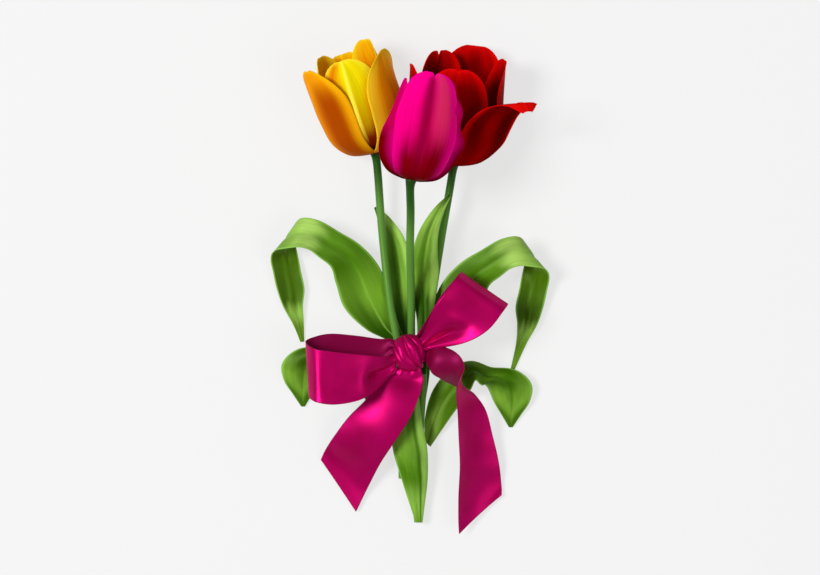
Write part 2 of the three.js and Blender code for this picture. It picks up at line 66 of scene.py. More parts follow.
LAYER = LEAF_THICKNESS + CLEARANCE
LEAF_Z = BAND_LIFT + RIBBON_THICKNESS + CLEARANCE + LEAF_THICKNESS / 2
STEM_PITCH = 2 * STEM_RADIUS + CLEARANCE
TIE_PITCH = STEM_PITCH + 2.3  # between stems at the tie, where they fan out
STEM_Z = LEAF_Z + 3.5 * LAYER + CLEARANCE + STEM_RADIUS
SHEATH_Z = STEM_Z + STEM_RADIUS + LAYER
BAND_TOP = SHEATH_Z + 1.5 * LAYER + RIBBON_THICKNESS
KNOT_Z = BAND_TOP + CLEARANCE + KNOT[2] / 2


def leaf_layer(n):
    return LEAF_Z + n * LAYER


def middle(node):
    """The middle of a CAD node's box, in millimetres."""
    low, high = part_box(node)
    return (np.array(low) + np.array(high)) / 2 / MM


SHIFT = middle("bow_knot") - np.array([0, TIE_Y, KNOT_Z])  # from the sizes above to the frame


# ---------------------------------------------------------------- curves
def hermite(b, c, m, n, w):
    """Between b, with slope m, and c, with slope n."""
    h = (2 * w**3 - 3 * w**2 + 1) * b + (w**3 - 2 * w**2 + w) * m
    return h + (3 * w**2 - 2 * w**3) * c + (w**3 - w**2) * n


def catmull(points, t, mirrored=True):
    """A uniform Catmull-Rom spline through points, at each t from 0 to 1."""
    p = np.asarray(points, float)
    first = 2 * p[0] - p[1] if mirrored else p[0]
    last = 2 * p[-1] - p[-2] if mirrored else p[-1]
    p = np.vstack([first, p, last])
    x = np.clip(np.asarray(t, float), 0, 1) * (len(p) - 3)
    i = np.minimum(x.astype(int), len(p) - 4)
    w = (x - i)[..., None]
    a, b, c, d = p[i], p[i + 1], p[i + 2], p[i + 3]
    m, n = (c - a) / 2, (d - b) / 2
    return hermite(b, c, m, n, w)


def centripetal(points, steps):
    """A centripetal Catmull-Rom spline through points, at equal distances along it."""
    p = np.asarray(points, float)
    p = np.vstack([2 * p[0] - p[1], p, 2 * p[-1] - p[-2]])
    out = []
    w = np.linspace(0, 1, 24, endpoint=False)[:, None]
    for a, b, c, d in zip(p, p[1:], p[2:], p[3:]):
        da, db, dc = (np.linalg.norm(q - r) ** 0.5 for q, r in ((b, a), (c, b), (d, c)))
        m = db * ((b - a) / da - (c - a) / (da + db) + (c - b) / db)
        n = db * ((c - b) / db - (d - b) / (db + dc) + (d - c) / dc)
        out.append(hermite(b, c, m, n, w))
    out.append(p[-2][None])
    return even(np.vstack(out), steps)


def even(path, steps):
    """Points at equal distances along a dense path."""
    gone = np.concatenate([[0], np.cumsum(np.linalg.norm(np.diff(path, axis=0), axis=1))])
    want = np.linspace(0, gone[-1], steps + 1)
    return np.stack([np.interp(want, gone, path[:, k]) for k in range(path.shape[1])], axis=1)


def unit(a):
    return a / np.maximum(np.linalg.norm(a, axis=-1, keepdims=True), 1e-9)


def bump(x, at, width):
    """A smooth bump of height 1 at one place."""
    return np.exp(-(((x - at) / width) ** 2))


def share(low, high, t):
    return low + (high - low) * t


def ease(x, low, high):
    """0 below low, 1 above high, smooth between."""
    t = np.clip((x - low) / (high - low), 0, 1)
    return t * t * (3 - 2 * t)


# ---------------------------------------------------------------- meshes
def make_object(name, parts, material, node):
    """A smooth object from its parts, which are points in millimetres, faces and UVs."""
    points, faces, uvs = parts
    mesh = bpy.data.meshes.new(name)
    mesh.from_pydata([tuple(p) for p in np.asarray(points) * MM], [], faces)
    layer = mesh.uv_layers.new(name="UVMap")
    corners = np.empty(len(mesh.loops), int)
    mesh.loops.foreach_get("vertex_index", corners)
    layer.data.foreach_set("uv", np.asarray(uvs, float)[corners].ravel())
    mesh.shade_smooth()
    mesh.materials.append(material)
    piece = bpy.data.objects.new(name, mesh)
    bpy.context.scene.collection.objects.link(piece)
    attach(piece, "root")
    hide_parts(node)
    return piece


def sheet_parts(p, thickness, uv_size=(1, 1)):
    """Points, faces and UVs of a closed thin solid on a grid. The first half of the points is its front."""
    rows, columns = p.shape[:2]
    n = unit(np.cross(np.gradient(p, axis=0), np.gradient(p, axis=1)))
    half = np.broadcast_to(thickness, (rows, columns))[..., None] / 2
    front, back = p + n * half, p - n * half
    u, v = np.meshgrid(np.linspace(0, 1, rows), np.linspace(0, 1, columns), indexing="ij")
    uv = np.stack([v * uv_size[0], u * uv_size[1]], axis=-1).reshape(-1, 2)
    index = np.arange(rows * columns).reshape(rows, columns)
    a, b, c, d = index[:-1, :-1], index[1:, :-1], index[1:, 1:], index[:-1, 1:]
    top = np.stack([a, b, c, d], axis=-1).reshape(-1, 4)
    count = rows * columns
    loop = np.concatenate([index[:, 0], index[-1, 1:], index[-2::-1, -1], index[0, -2:0:-1]])
    after = np.roll(loop, -1)
    rim = np.stack([after, loop, loop + count, after + count], axis=-1)
    faces = np.vstack([top, top[:, ::-1] + count, rim])
    points = np.vstack([front.reshape(-1, 3), back.reshape(-1, 3)])
    return points, faces.tolist(), np.vstack([uv, uv])


def grid(rows, columns, spacing=None):
    """u from 0 to 1 along and v from -1 to 1 across."""
    u = np.linspace(0, 1, rows + 1)
    return np.meshgrid(spacing(u) if spacing else u, np.linspace(-1, 1, columns + 1), indexing="ij")


def strip(stations, u, v):
    """A strip's points. Each station is x, y, z, the way its width points, its width and its camber."""
    centre = [s[:3] for s in stations]
    across = unit(np.array([s[3] for s in stations], float))
    size = [s[4:6] for s in stations]
    point = catmull(centre, u)
    along = unit(catmull(centre, np.clip(u + 0.01, 0, 1)) - catmull(centre, np.clip(u - 0.01, 0, 1)))
    side = unit(catmull(across, u))
    up = unit(np.cross(side, along))
    width, camber = np.moveaxis(catmull(size, u), -1, 0)
    return point + side * (width / 2 * v)[..., None] + up * (camber * (1 - v * v))[..., None], up, width


# ---------------------------------------------------------------- materials
REVERSE = 200.0  # what the UVs of the ribbon's reverse are moved by, in millimetres across it


def rgb(r, g, b):
    """A linear colour from a display one, 0 to 255."""
    linear = (((c / 255 + 0.055) / 1.055) ** 2.4 if c > 10 else c / 255 / 12.92 for c in (r, g, b))
    return (*linear, 1.0)


class Shader:
    """A node-based material, with a short way to add nodes."""

    def __init__(self, name, **settings):
        self.material = bpy.data.materials.new(name)
        self.material.use_nodes = True
        self.tree = self.material.node_tree
        self.bsdf = self.tree.nodes["Principled BSDF"]
        for key, value in settings.items():
            self.bsdf.inputs[key.replace("_", " ")].default_value = value

    def add(self, kind, inputs=None, output=0, **settings):
        made = self.tree.nodes.new("ShaderNode" + kind)
        for key, value in settings.items():
            setattr(made, key, value)
        for key, value in (inputs or {}).items():
            if isinstance(value, bpy.types.NodeSocket):
                self.tree.links.new(value, made.inputs[key])
            else:
                made.inputs[key].default_value = value
        return made.outputs[output]

    def math(self, operation, a, b):
        return self.add("Math", {0: a, 1: b}, operation=operation)

    def gap(self, a, b):
        return self.add("Math", {0: self.math("SUBTRACT", a, b)}, operation="ABSOLUTE")

    def plus(self, a, b):
        return self.math("ADD", a, b)

    def times(self, a, b):
        return self.math("MULTIPLY", a, b)

    def uv(self):
        split = self.tree.nodes.new("ShaderNodeSeparateXYZ")
        self.tree.links.new(self.add("TexCoord", output=2), split.inputs[0])
        return split.outputs[0], split.outputs[1]

    def vector(self, x, y, z=0.0):
        return self.add("CombineXYZ", {0: x, 1: y, 2: z})

    def noise(self, vector, scale=1.0, detail=2.0):
        return self.add("TexNoise", {"Vector": vector, "Scale": scale, "Detail": detail})

    def ramp(self, value, stops):
        """The colour at the value. Each stop is a place from 0 to 1, red, green and blue."""
        made = self.add("ValToRGB", {0: value})
        made.node.color_ramp.interpolation = "EASE"
        elements = made.node.color_ramp.elements
        while len(elements) < len(stops):
            elements.new(0.5)
        for element, (place, *colour) in zip(elements, stops):
            element.position = place
            element.color = rgb(*colour)
        return made

    def range(self, value, low, high, to_low=0.0, to_high=1.0, smooth=True):
        values = {"Value": value, "From Min": low, "From Max": high, "To Min": to_low, "To Max": to_high}
        return self.add("MapRange", values, interpolation_type="SMOOTHSTEP" if smooth else "LINEAR")

    def vary(self, value, noise, amount):
        """The value, moved either way by up to half the amount as the noise goes from 0 to 1."""
        return self.plus(value, self.times(self.math("SUBTRACT", noise, 0.5), amount))

    def grain(self, x, y, across, along, seed=0.0, detail=2.0):
        """Noise with its own fineness across the surface and along it."""
        return self.noise(self.vector(self.times(x, across), self.times(y, along), seed), detail=detail)

    def shaded(self, colour, shade):
        """The colour, times a grey."""
        grey = self.add("CombineColor", {0: shade, 1: shade, 2: shade})
        return self.mix(1.0, colour, grey, blend="MULTIPLY")

    def mix(self, factor, a, b, blend="MIX"):
        return self.add("Mix", {0: factor, 6: a, 7: b}, 2, data_type="RGBA", blend_type=blend)

    def link(self, output, key):
        self.tree.links.new(output, self.bsdf.inputs[key])

    def bump(self, height, strength, distance):
        values = {"Height": height, "Strength": strength, "Distance": distance * MM}
        self.link(self.add("Bump", values), "Normal")


FADE = 0.12  # half the length over which a band of colour begins or ends, as a share of the whole


def with_light_and_shade_bands(s, colour, x, y, patches, light_and_shade_bands):
    """Adds lengthwise bands of other colours, painted light and shade. Each has its place and width across,
    its start and end along, its strength and its colour."""
    wander = s.vary(x, patches, 0.05)
    for place, width, low, high, strength, *other in light_and_shade_bands:
        band = s.range(s.gap(wander, place), 0.2 * width, 1.2 * width, strength, 0.0)
        band = s.times(band, s.range(y, low - FADE, low + FADE))
        band = s.times(band, s.range(y, high - FADE, high + FADE, 1.0, 0.0))
        colour = s.mix(band, colour, rgb(*other))
    return colour


def petal_material(name, along, highlight_colour, margin=(0.55, 0.8), seed=0.0, light_and_shade_bands=(), shine=0.012):
    """A petal, with colours along it, lengthwise bands of others, which are painted light and shade, and
    margins and a tip of its highlight colour, a painted glow. margin is where that glow starts, from 0 at
    the middle to 1 at the side, and how strong it is."""
    s = Shader(name, Specular_IOR_Level=shine, Specular_Tint=highlight_colour)
    x, y = s.uv()
    off = s.gap(x, 0.5)
    veins = s.grain(x, y, 38.0, 1.6, seed, detail=4.0)
    patches = s.grain(x, y, 3.0, 2.0, seed + 3.0)
    height = s.vary(s.vary(y, patches, 0.3), veins, 0.08)
    colour = with_light_and_shade_bands(s, s.ramp(height, along), x, y, patches, light_and_shade_bands)
    start, strength = margin
    # Painted glow: the margins and the tip fade to the highlight colour, but not near the base.
    sides = s.range(s.times(off, 2.0), start, 1.0, 0.0, strength)
    tip = s.range(y, 0.85, 1.0, 0.0, strength)
    upper = s.range(y, 0.1, 0.4)
    colour = s.mix(s.times(s.math("MAXIMUM", sides, tip), upper), colour, highlight_colour)
    s.link(s.shaded(colour, s.range(veins, 0.3, 0.7, 0.89, 1.055, smooth=False)), "Base Color")
    s.link(s.range(veins, 0.2, 0.8, 0.37, 0.5), "Roughness")
    s.bump(veins, 0.1, 0.3)
    return s.material


def leaf_material(name, along, highlight_colour, side=0.0, seed=0.0, vee=0.0, light_and_shade_bands=()):
    """A leaf: long parallel veins, margins with a painted highlight, and colours along it, which paint its
    light and shade. side makes one half a little darker and the other a little lighter, as painted shade
    and light, and vee makes the colours point to the tip."""
    s = Shader(name, Specular_IOR_Level=0.25, Specular_Tint=rgb(200, 245, 140))
    x, y = s.uv()
    off = s.gap(x, 0.5)
    fine = s.grain(x, y, 44.0, 2.4, seed + 1.0, detail=3.0)
    broad = s.grain(x, y, 4.0, 7.0, seed + 5.0)
    place = s.plus(s.vary(y, broad, 0.05), s.times(off, vee))
    colour = with_light_and_shade_bands(s, s.ramp(place, along), x, y, broad, light_and_shade_bands)
    # Painted shade on one half of the leaf and painted light on the other.
    half = s.range(x, 0.25, 0.75, 1.0 - side, 1.0 + side)
    shade = s.times(s.range(fine, 0.3, 0.7, 0.88, 1.07, smooth=False), half)
    shade = s.times(shade, s.range(broad, 0.3, 0.7, 0.86, 1.1))
    # Painted highlight along the margins, in the highlight colour.
    margin = s.range(off, 0.43, 0.49, 0.0, 0.8)
    s.link(s.mix(margin, s.shaded(colour, shade), highlight_colour), "Base Color")
    s.link(s.range(fine, 0.2, 0.8, 0.36, 0.5), "Roughness")
    s.bump(fine, 0.22, 0.3)
    return s.material


def stem_material():
    """A stem: dark under the flower, a painted shade, with faint lengthwise lines."""
    s = Shader("stem", Roughness=0.42, Specular_IOR_Level=0.4, Specular_Tint=rgb(200, 240, 150))
    x, y = s.uv()
    lines = s.grain(x, y, 26.0, 6.0, 2.0, detail=4.0)
    # Near black at the flower end, paling to green a little way down: painted shade under the flower.
    stops = [(0.0, 4, 44, 4), (0.05, 24, 76, 14), (0.2, 88, 138, 52), (1.0, 92, 142, 56)]
    shade = s.range(lines, 0.3, 0.7, 0.86, 1.1, smooth=False)
    s.link(s.shaded(s.ramp(y, stops), shade), "Base Color")
    s.bump(lines, 0.25, 0.25)
    return s.material


def ribbon_material():
    """Woven satin, darker and duller on its reverse: the dullness is the satin's own, and the darker colour
    is partly the satin's duller back and partly painted shade for the insides of the loops and the
    undersides.
    Its UVs are in millimetres, across and along, and those of the reverse start at REVERSE."""
    s = Shader("ribbon_satin", Specular_IOR_Level=0.6, Specular_Tint=rgb(255, 90, 190))
    x, y = s.uv()
    reverse = s.math("GREATER_THAN", x, REVERSE / 2)
    threads = {"Vector": s.vector(y, x), "Scale": 0.55, "Distortion": 0.4, "Detail": 1.0}
    weft = s.add("TexWave", threads, output=1)
    warp = s.grain(x, y, 3.4, 0.35)
    slow = s.noise(s.vector(x, y), scale=0.05)
    face = s.ramp(slow, [(0.3, 166, 0, 76), (0.7, 184, 0, 92)])
    # The reverse's darker colour: partly satin's duller back, partly painted shade inside the loops and
    # under the ribbon.
    colour = s.mix(reverse, face, rgb(120, 0, 50))
    s.link(s.shaded(colour, s.range(warp, 0.3, 0.7, 0.96, 1.02, smooth=False)), "Base Color")
    s.link(s.range(reverse, 0.0, 1.0, 0.5, 0.1), "Metallic")
    rough = s.range(warp, 0.2, 0.8, 0.35, 0.40)
    s.link(s.plus(rough, s.times(reverse, 0.1)), "Roughness")
    s.bump(s.plus(s.times(weft, 0.5), warp), 0.06, 0.1)
    return s.material


# In these petal looks the bands are painted light and shade on folds, ridges and margins, and the highlight
# colour is a painted glow on the margins and tips.
PETALS = {
    "yellow_outer": petal_material(
        "yellow_petal_outer",
        [(0.0, 130, 26, 0), (0.1, 190, 92, 0), (0.5, 214, 112, 0), (0.8, 240, 152, 6)],
        rgb(255, 186, 14),
        margin=(0.6, 0.9), seed=1.0,
        light_and_shade_bands=[(0.7, 0.3, 0.22, 0.72, 1.0, 170, 70, 0), (0.3, 0.16, 0.1, 0.8, 0.6, 240, 150, 0)],
    ),
    # A lighter copy of the outer petals' yellow: painted light for the outer petal that turns away from the
    # lamps.
    "yellow_painted_lit": petal_material(
        "yellow_petal_painted_lit",
        [(0.0, 150, 40, 0), (0.2, 240, 130, 0), (0.5, 255, 158, 4), (0.9, 255, 180, 16)],
        rgb(255, 216, 40),
        margin=(0.4, 0.9), seed=17.0,
        light_and_shade_bands=[(0.3, 0.14, 0.35, 0.9, 0.55, 220, 120, 0)],
    ),
    "yellow_inner": petal_material(
        "yellow_petal_inner",
        [(0.0, 96, 6, 0), (0.33, 140, 32, 0), (0.5, 214, 150, 4), (0.8, 246, 226, 10)],
        rgb(255, 236, 50),
        seed=7.0,
        light_and_shade_bands=[
            (0.16, 0.27, 0.3, 1.3, 0.95, 218, 120, 0), (0.5, 0.04, 0.4, 1.2, 0.9, 255, 244, 70),
            (0.6, 0.08, 0.45, 0.85, 0.6, 214, 200, 0),
        ],
    ),
    "yellow_back": petal_material(
        "yellow_petal_back",
        [(0.0, 110, 10, 0), (0.3, 176, 76, 0), (0.62, 228, 118, 0), (0.9, 252, 184, 10)],
        rgb(255, 222, 30),
        margin=(0.45, 0.9), seed=11.0,
    ),
    "magenta_outer": petal_material(
        "magenta_petal_outer",
        [(0.0, 92, 0, 2), (0.36, 124, 0, 14), (0.56, 206, 0, 92), (0.85, 236, 0, 128)],
        rgb(255, 0, 146),
        margin=(0.5, 0.8), seed=2.0,
        # Painted highlights on the raised lobes either side of a fold, painted shade in that fold, and a
        # painted shadow line along one margin.
        light_and_shade_bands=[
            (0.24, 0.16, 0.46, 1.0, 0.7, 255, 0, 140), (0.47, 0.12, 0.36, 0.95, 0.85, 156, 0, 60),
            (0.7, 0.17, 0.5, 1.3, 0.95, 226, 42, 100), (0.0, 0.06, 0.1, 0.55, 0.9, 40, 0, 4),
        ],
    ),
    "magenta_side": petal_material(
        "magenta_petal_side",
        [(0.0, 70, 0, 0), (0.42, 112, 0, 6), (0.56, 190, 0, 80), (0.9, 206, 0, 108)],
        rgb(250, 0, 142),
        margin=(0.6, 0.85), seed=4.0,
        shine=0.0,
    ),
    "magenta_inner": petal_material(
        "magenta_petal_inner",
        [(0.0, 96, 0, 6), (0.45, 128, 0, 14), (0.7, 170, 0, 60), (1.0, 204, 0, 96)],
        rgb(220, 0, 110),
        margin=(0.7, 0.6), seed=5.0,
    ),
    "red_outer": petal_material(
        "red_petal_outer",
        [(0.0, 70, 0, 0), (0.3, 140, 0, 0), (0.52, 104, 0, 0), (0.7, 120, 0, 0), (0.8, 232, 12, 8)],
        rgb(224, 10, 8),
        margin=(0.7, 0.8), seed=3.0,
        light_and_shade_bands=[(0.42, 0.16, 0.25, 0.6, 0.6, 170, 2, 2), (0.7, 0.16, 0.3, 0.7, 0.6, 78, 0, 0)],
        shine=0.0,
    ),
    "red_inner": petal_material(
        "red_petal_inner",
        [(0.0, 80, 0, 0), (0.4, 120, 0, 0), (0.7, 156, 0, 0), (0.95, 200, 4, 4)],
        rgb(228, 8, 6),
        margin=(0.6, 0.85), seed=9.0,
        light_and_shade_bands=[(0.5, 0.06, 0.5, 1.2, 0.7, 196, 4, 4)],
    ),
    "red_back": petal_material(
        "red_petal_back",
        [(0.0, 50, 0, 0), (0.4, 92, 0, 0), (0.68, 124, 0, 0), (0.95, 190, 4, 4)],
        rgb(214, 6, 4),
        margin=(0.55, 0.85), seed=13.0,
        light_and_shade_bands=[(0.5, 0.16, 0.3, 0.85, 0.55, 84, 0, 0)],
    ),
}
# The light green of the leaves' margins, a painted highlight.
LEAF_RIM_HIGHLIGHT = rgb(142, 196, 84)
# Each leaf's colours along it and its bands are painted light and shade: light bands where it arches up,
# dark at its base, in its folds and where its underside hangs down, and light lines as painted highlights
# on its edges.
LEAVES = {
    "arch": leaf_material(
        "leaf_arch",
        [
            (0.0, 38, 83, 0), (0.2, 52, 99, 2), (0.3, 108, 157, 36), (0.4, 70, 117, 8),
            (0.48, 84, 131, 24), (0.55, 158, 197, 92), (0.65, 120, 165, 54), (0.7, 70, 105, 6),
            (0.86, 60, 95, 2), (0.91, 136, 179, 70), (0.96, 92, 133, 26),
        ],
        LEAF_RIM_HIGHLIGHT,
        side=0.12,
        light_and_shade_bands=[(0.24, 0.26, -0.2, 0.3, 0.85, 38, 85, 0), (0.56, 0.035, -0.2, 0.3, 0.75, 140, 187, 78)],
    ),
    "upright": leaf_material(
        "leaf_upright",
        [
            (0.0, 32, 75, 0), (0.4, 44, 91, 0), (0.52, 120, 169, 48), (0.65, 100, 147, 32),
            (0.85, 140, 185, 70), (1.0, 48, 93, 4),
        ],
        LEAF_RIM_HIGHLIGHT,
        side=0.12, seed=3.0,
        light_and_shade_bands=[(0.84, 0.16, 0.4, 1.0, 0.9, 156, 199, 90), (0.4, 0.14, 0.4, 0.9, 0.6, 60, 107, 6)],
    ),
    "sheath": leaf_material(
        "leaf_sheath",
        [
            (0.0, 98, 145, 40), (0.15, 124, 171, 60), (0.3, 74, 121, 12), (0.45, 108, 155, 44),
            (0.6, 72, 119, 14), (0.8, 48, 93, 0), (1.0, 36, 81, 0),
        ],
        LEAF_RIM_HIGHLIGHT,
        side=-0.06, seed=6.0,
        # A dark band, a painted shadow, beside a light one, a painted highlight on a raised stripe.
        light_and_shade_bands=[(0.72, 0.07, -0.2, 0.8, 0.7, 48, 95, 0), (0.88, 0.12, -0.2, 0.8, 0.9, 148, 195, 84)],
    ),
    "low": leaf_material(
        "leaf_low",
        [
            (0.0, 74, 115, 12), (0.16, 134, 177, 64), (0.27, 82, 127, 16), (0.42, 56, 99, 0),
            (0.55, 82, 127, 18), (0.68, 56, 97, 0), (0.88, 116, 163, 48), (1.0, 64, 107, 8),
        ],
        LEAF_RIM_HIGHLIGHT,
        seed=9.0,
        vee=0.3,
        light_and_shade_bands=[(0.5, 0.05, 0.1, 0.9, 0.4, 48, 91, 0)],
    ),
}
STEM = stem_material()
RIBBON = ribbon_material()


def plain_material(name, low, high, scale):
    s = Shader(name, Roughness=0.55)
    spots = s.noise(s.add("TexCoord", output=3), scale=scale, detail=3.0)
    s.link(s.ramp(spots, [(0.3, *low), (0.7, *high)]), "Base Color")
    s.bump(spots, 0.4, 0.3)
    return s.material


PISTIL_SKIN = plain_material("pistil", (150, 170, 70), (206, 214, 130), 300.0)
STAMEN_SKIN = plain_material("stamen", (30, 16, 34), (64, 40, 60), 500.0)


# ---------------------------------------------------------------- tulip heads
HEADS = {
    "yellow": dict(radius=26, height=66.8, lean=18, up=12, depth=0.88, turn=61, neck=(-22.8, 88.7)),
    "magenta": dict(radius=26, height=66, lean=-11, up=0, depth=0.82, turn=12, neck=(1.5, 68.8)),
    "red": dict(radius=30, height=70, lean=-4, up=15, depth=0.8, turn=43, neck=(28.5, 80.8)),
}


def turned(head, points, z=0.0):
    """From a head's own frame, its axis along +Y, to the bunch's."""
    x, y, depth = points[..., 0], points[..., 1], points[..., 2] * head["depth"]
    a, b = math.radians(head["up"]), math.radians(head["lean"])
    y, depth = y * math.cos(a) - depth * math.sin(a), y * math.sin(a) + depth * math.cos(a)
    x, y = x * math.cos(b) - y * math.sin(b), x * math.sin(b) + y * math.cos(b)
    return np.stack([x + head["neck"][0] + SHIFT[0], y + head["neck"][1] + SHIFT[1], depth + z], axis=-1)


def rounded_cup(radius, height, opening):
    """A tepal's outline as radius and height pairs. opening is its tip's share of the radius."""
    between = [1 + (opening - 1) * share for share in (0.4, 0.78)]
    shares = [(0.6, 0.05), (0.89, 0.2), (1.0, 0.43), (between[0], 0.68), (between[1], 0.89), (opening, 1.0)]
    return [(r * radius, h * height) for r, h in shares]


def splayed_cup(radius, height):
    """The outline of a tepal that bends outwards and down at its tip."""
    shares = [(0.6, 0.05), (0.95, 0.2), (1.1, 0.38), (1.33, 0.54), (1.7, 0.67), (2.02, 0.71), (2.2, 0.645)]
    return [(r * radius, h * height) for r, h in shares]


OUTLINE_STEPS = 600
OUTER_FOOT = 6.4  # half an outer tepal's width at its base
INNER_FOOT = 5.0
WIDEST = 0.58  # where a tepal is widest, as a share of its length
WIDENS = 0.66  # below 1, it widens more quickly from its base


def tepal_points(head, t, u, v):
    """A tepal's points in its head's frame."""
    radius, height = head["radius"], head["height"] * t.get("tall", 1.0)
    side = splayed_cup(radius, height) if t.get("splayed") else rounded_cup(radius, height, t["open"])
    base = RECEPTACLE_RADIUS + CLEARANCE + TEPAL_THICKNESS
    foot = t["foot"]
    path = catmull([(base, 0)] + side, np.linspace(0, 1, OUTLINE_STEPS), mirrored=False)
    path = even(path, OUTLINE_STEPS)
    steps = np.linspace(0, 1, OUTLINE_STEPS + 1)
    slope = unit(np.gradient(path, axis=0))
    r, h, out, fall = (np.interp(u, steps, a) for a in (path[:, 0], path[:, 1], slope[:, 1], slope[:, 0]))
    rise = np.clip(u / WIDEST, 0, 1) ** t["quick"]
    grow = foot + (t["width"] / 2 - foot) * np.sin(math.pi / 2 * rise)
    close = np.clip((u - WIDEST) / (1 - WIDEST), 0, 1)
    half = grow * np.power(1 - (0.985 * close) ** 2, t.get("tip", 0.6))
    lift = t["offset"] + details(t, u, v)
    side_to_front, reach, sink = t.get("lap", (1, 0.0, 0.0))
    lapped = ease(v * side_to_front, 0.45, 1.0)
    lift = lift - sink * lapped * ease(u, 0.1, 0.3)
    turn = np.radians(t["bearing"]) + (v + reach * side_to_front * lapped) * half / np.maximum(r, base)
    notch = t.get("notch", 0.0) * bump(v, t.get("dent", 0.0), 0.16) * ease(u, 0.7, 1.0)
    wide = r + lift * out
    return np.stack([wide * np.sin(turn), h - lift * fall - notch, wide * np.cos(turn)], axis=-1)


def details(t, u, v):
    """How far the surface stands out from the plain one: midrib, rolled margins, ripples and ruffles."""
    lift = -t.get("rib", 0.7) * bump(v, 0, 0.1) * ease(u, 0.05, 0.3) * (1 - 0.5 * u)
    lift = lift - t.get("slim", 0.0) * bump(u, 0.6, 0.3)
    lift = lift + t.get("roll", 0.0) * np.abs(v) ** 4 * ease(u, 0.15, 0.5)
    amount, waves, start = t.get("ripple", (0, 0, 0))
    lift = lift + amount * np.sin(math.tau * waves * u + start) * ease(u, 0.25, 0.5) * ease(-v, -0.4, 0.5)
    for amount, waves, start in t.get("ruffles", ((0.5, 2.3, 0.4),)):
        wave = np.sin(math.tau * waves * u + start + np.sign(v))
        lift = lift + amount * np.abs(v) ** 3 * wave * ease(u, 0.2, 0.5)
    return lift


def tip_spacing(u):
    """Rows closer together at the foot and the tip."""
    return (1 - np.cos(math.pi * u)) / 2


# What makes a tepal as plain as its CAD node.
PLAIN = dict(
    rib=0, roll=0, ripple=(0, 0, 0), ruffles=(), notch=0, lap=(1, 0, 0), slim=0,
    foot=TEPAL_BASE_HALF_WIDTH, quick=1,
)


def build_head(name, outer, inner):
    """Six tepals. Plain ones, set beside the boxes of their CAD nodes, give the head's height."""
    head = HEADS[name]
    half = (WHORL_GAP + TEPAL_THICKNESS) / 2
    tepals = []
    whorls = (("outer", outer, 0, half, OUTER_FOOT), ("inner", inner, 60, -half, INNER_FOOT))
    for kind, whorl, start, offset, foot in whorls:
        for k, t in enumerate(whorl):
            bearing = head["turn"] + start + 120 * k + t.get("shift", 0)
            full = dict(foot=foot, quick=WIDENS, bearing=bearing, offset=offset)
            tepals.append((f"{name}_{kind}_tepal_{k + 1}", {**full, **t}))
    u, v = grid(9, 6, tip_spacing)  # as coarse as the CAD nodes
    lifts = []
    for node, t in tepals:
        p = turned(head, tepal_points(head, {**t, **PLAIN}, u, v)).reshape(-1, 3)
        lifts.append(middle(node)[2] - (p.min(0)[2] + p.max(0)[2]) / 2)
    head["z"] = float(np.mean(lifts))
    u, v = grid(56, 36, tip_spacing)
    for node, t in tepals:
        p = turned(head, tepal_points(head, t, u, v), head["z"])
        thick = TEPAL_THICKNESS * (0.35 + 0.65 * (1 - np.abs(v) ** 3) * (1 - u**6))
        look = PETALS[t["look"]]
        make_object(node.replace("tepal", "petal"), sheet_parts(p, thick), look, node)


build_head(
    "yellow",
    [
        dict(width=45, open=1.0, tall=0.92, look="yellow_painted_lit", roll=1.2),
        dict(width=46, open=0.9, tall=0.93, tip=0.5, look="yellow_back"),
        dict(width=45, open=1.12, tall=0.95, look="yellow_outer", roll=-1.5),
    ],
    [
        dict(width=45, open=0.78, tall=1.03, tip=0.42, look="yellow_back", rib=1.0),
        dict(width=44, open=0.7, tip=0.45, look="yellow_back"),
        dict(width=48, open=0.8, tall=0.95, tip=0.48, shift=-8, look="yellow_inner", rib=-1.3),
    ],
)
build_head(
    "red",
    [
        dict(width=44, splayed=True, tip=0.5, look="red_outer", roll=1.2),
        dict(width=48, open=1.06, tall=1.03, tip=0.4, look="red_back", ruffles=((0.8, 1.6, 0.4),)),
        dict(width=45, open=1.02, tall=0.9, look="red_back"),
    ],
    [
        dict(width=46, open=1.0, tall=0.97, tip=0.42, look="red_back"),
        dict(width=48, open=0.74, tip=0.4, look="red_back", notch=2.5),
        dict(width=50, open=0.85, tall=0.92, tip=0.42, shift=14, look="red_inner", notch=1.2, rib=1.3),
    ],
)
build_head(
    "magenta",
    [
        dict(width=42, open=0.55, tip=0.4, shift=-3, look="magenta_outer", rib=1.8, notch=2, dent=-0.05),
        dict(
            width=45, open=0.6, tall=0.96, tip=0.75, shift=-8, look="magenta_side",
            lap=(-1, 0.62, 1.7), ripple=(1.5, 3.4, -2.2),
        ),
        dict(
            width=45, open=0.6, tall=0.92, tip=0.7, shift=9, look="magenta_side", lap=(1, 0.36, 1.7), slim=4
        ),
    ],
    [
        dict(width=40, open=0.42, tall=0.9, look="magenta_inner", slim=2.0),
        dict(width=40, open=0.42, tall=0.9, look="magenta_inner", slim=2.0),
        dict(width=44, open=0.5, tall=0.96, look="magenta_side", slim=2.2),
    ],
)


# ---------------------------------------------------------------- pistils and stamens
def rings(rows, columns):
    """The numbers of the points of closed rings, and for each point that of the next one round."""
    index = np.arange(rows * columns).reshape(rows, columns)
    return index, np.roll(index, -1, axis=1)


def wall(index, after):
    """Four-sided faces between each ring and the next."""
    return np.stack([index[:-1], index[1:], after[1:], after[:-1]], axis=-1).reshape(-1, 4).tolist()


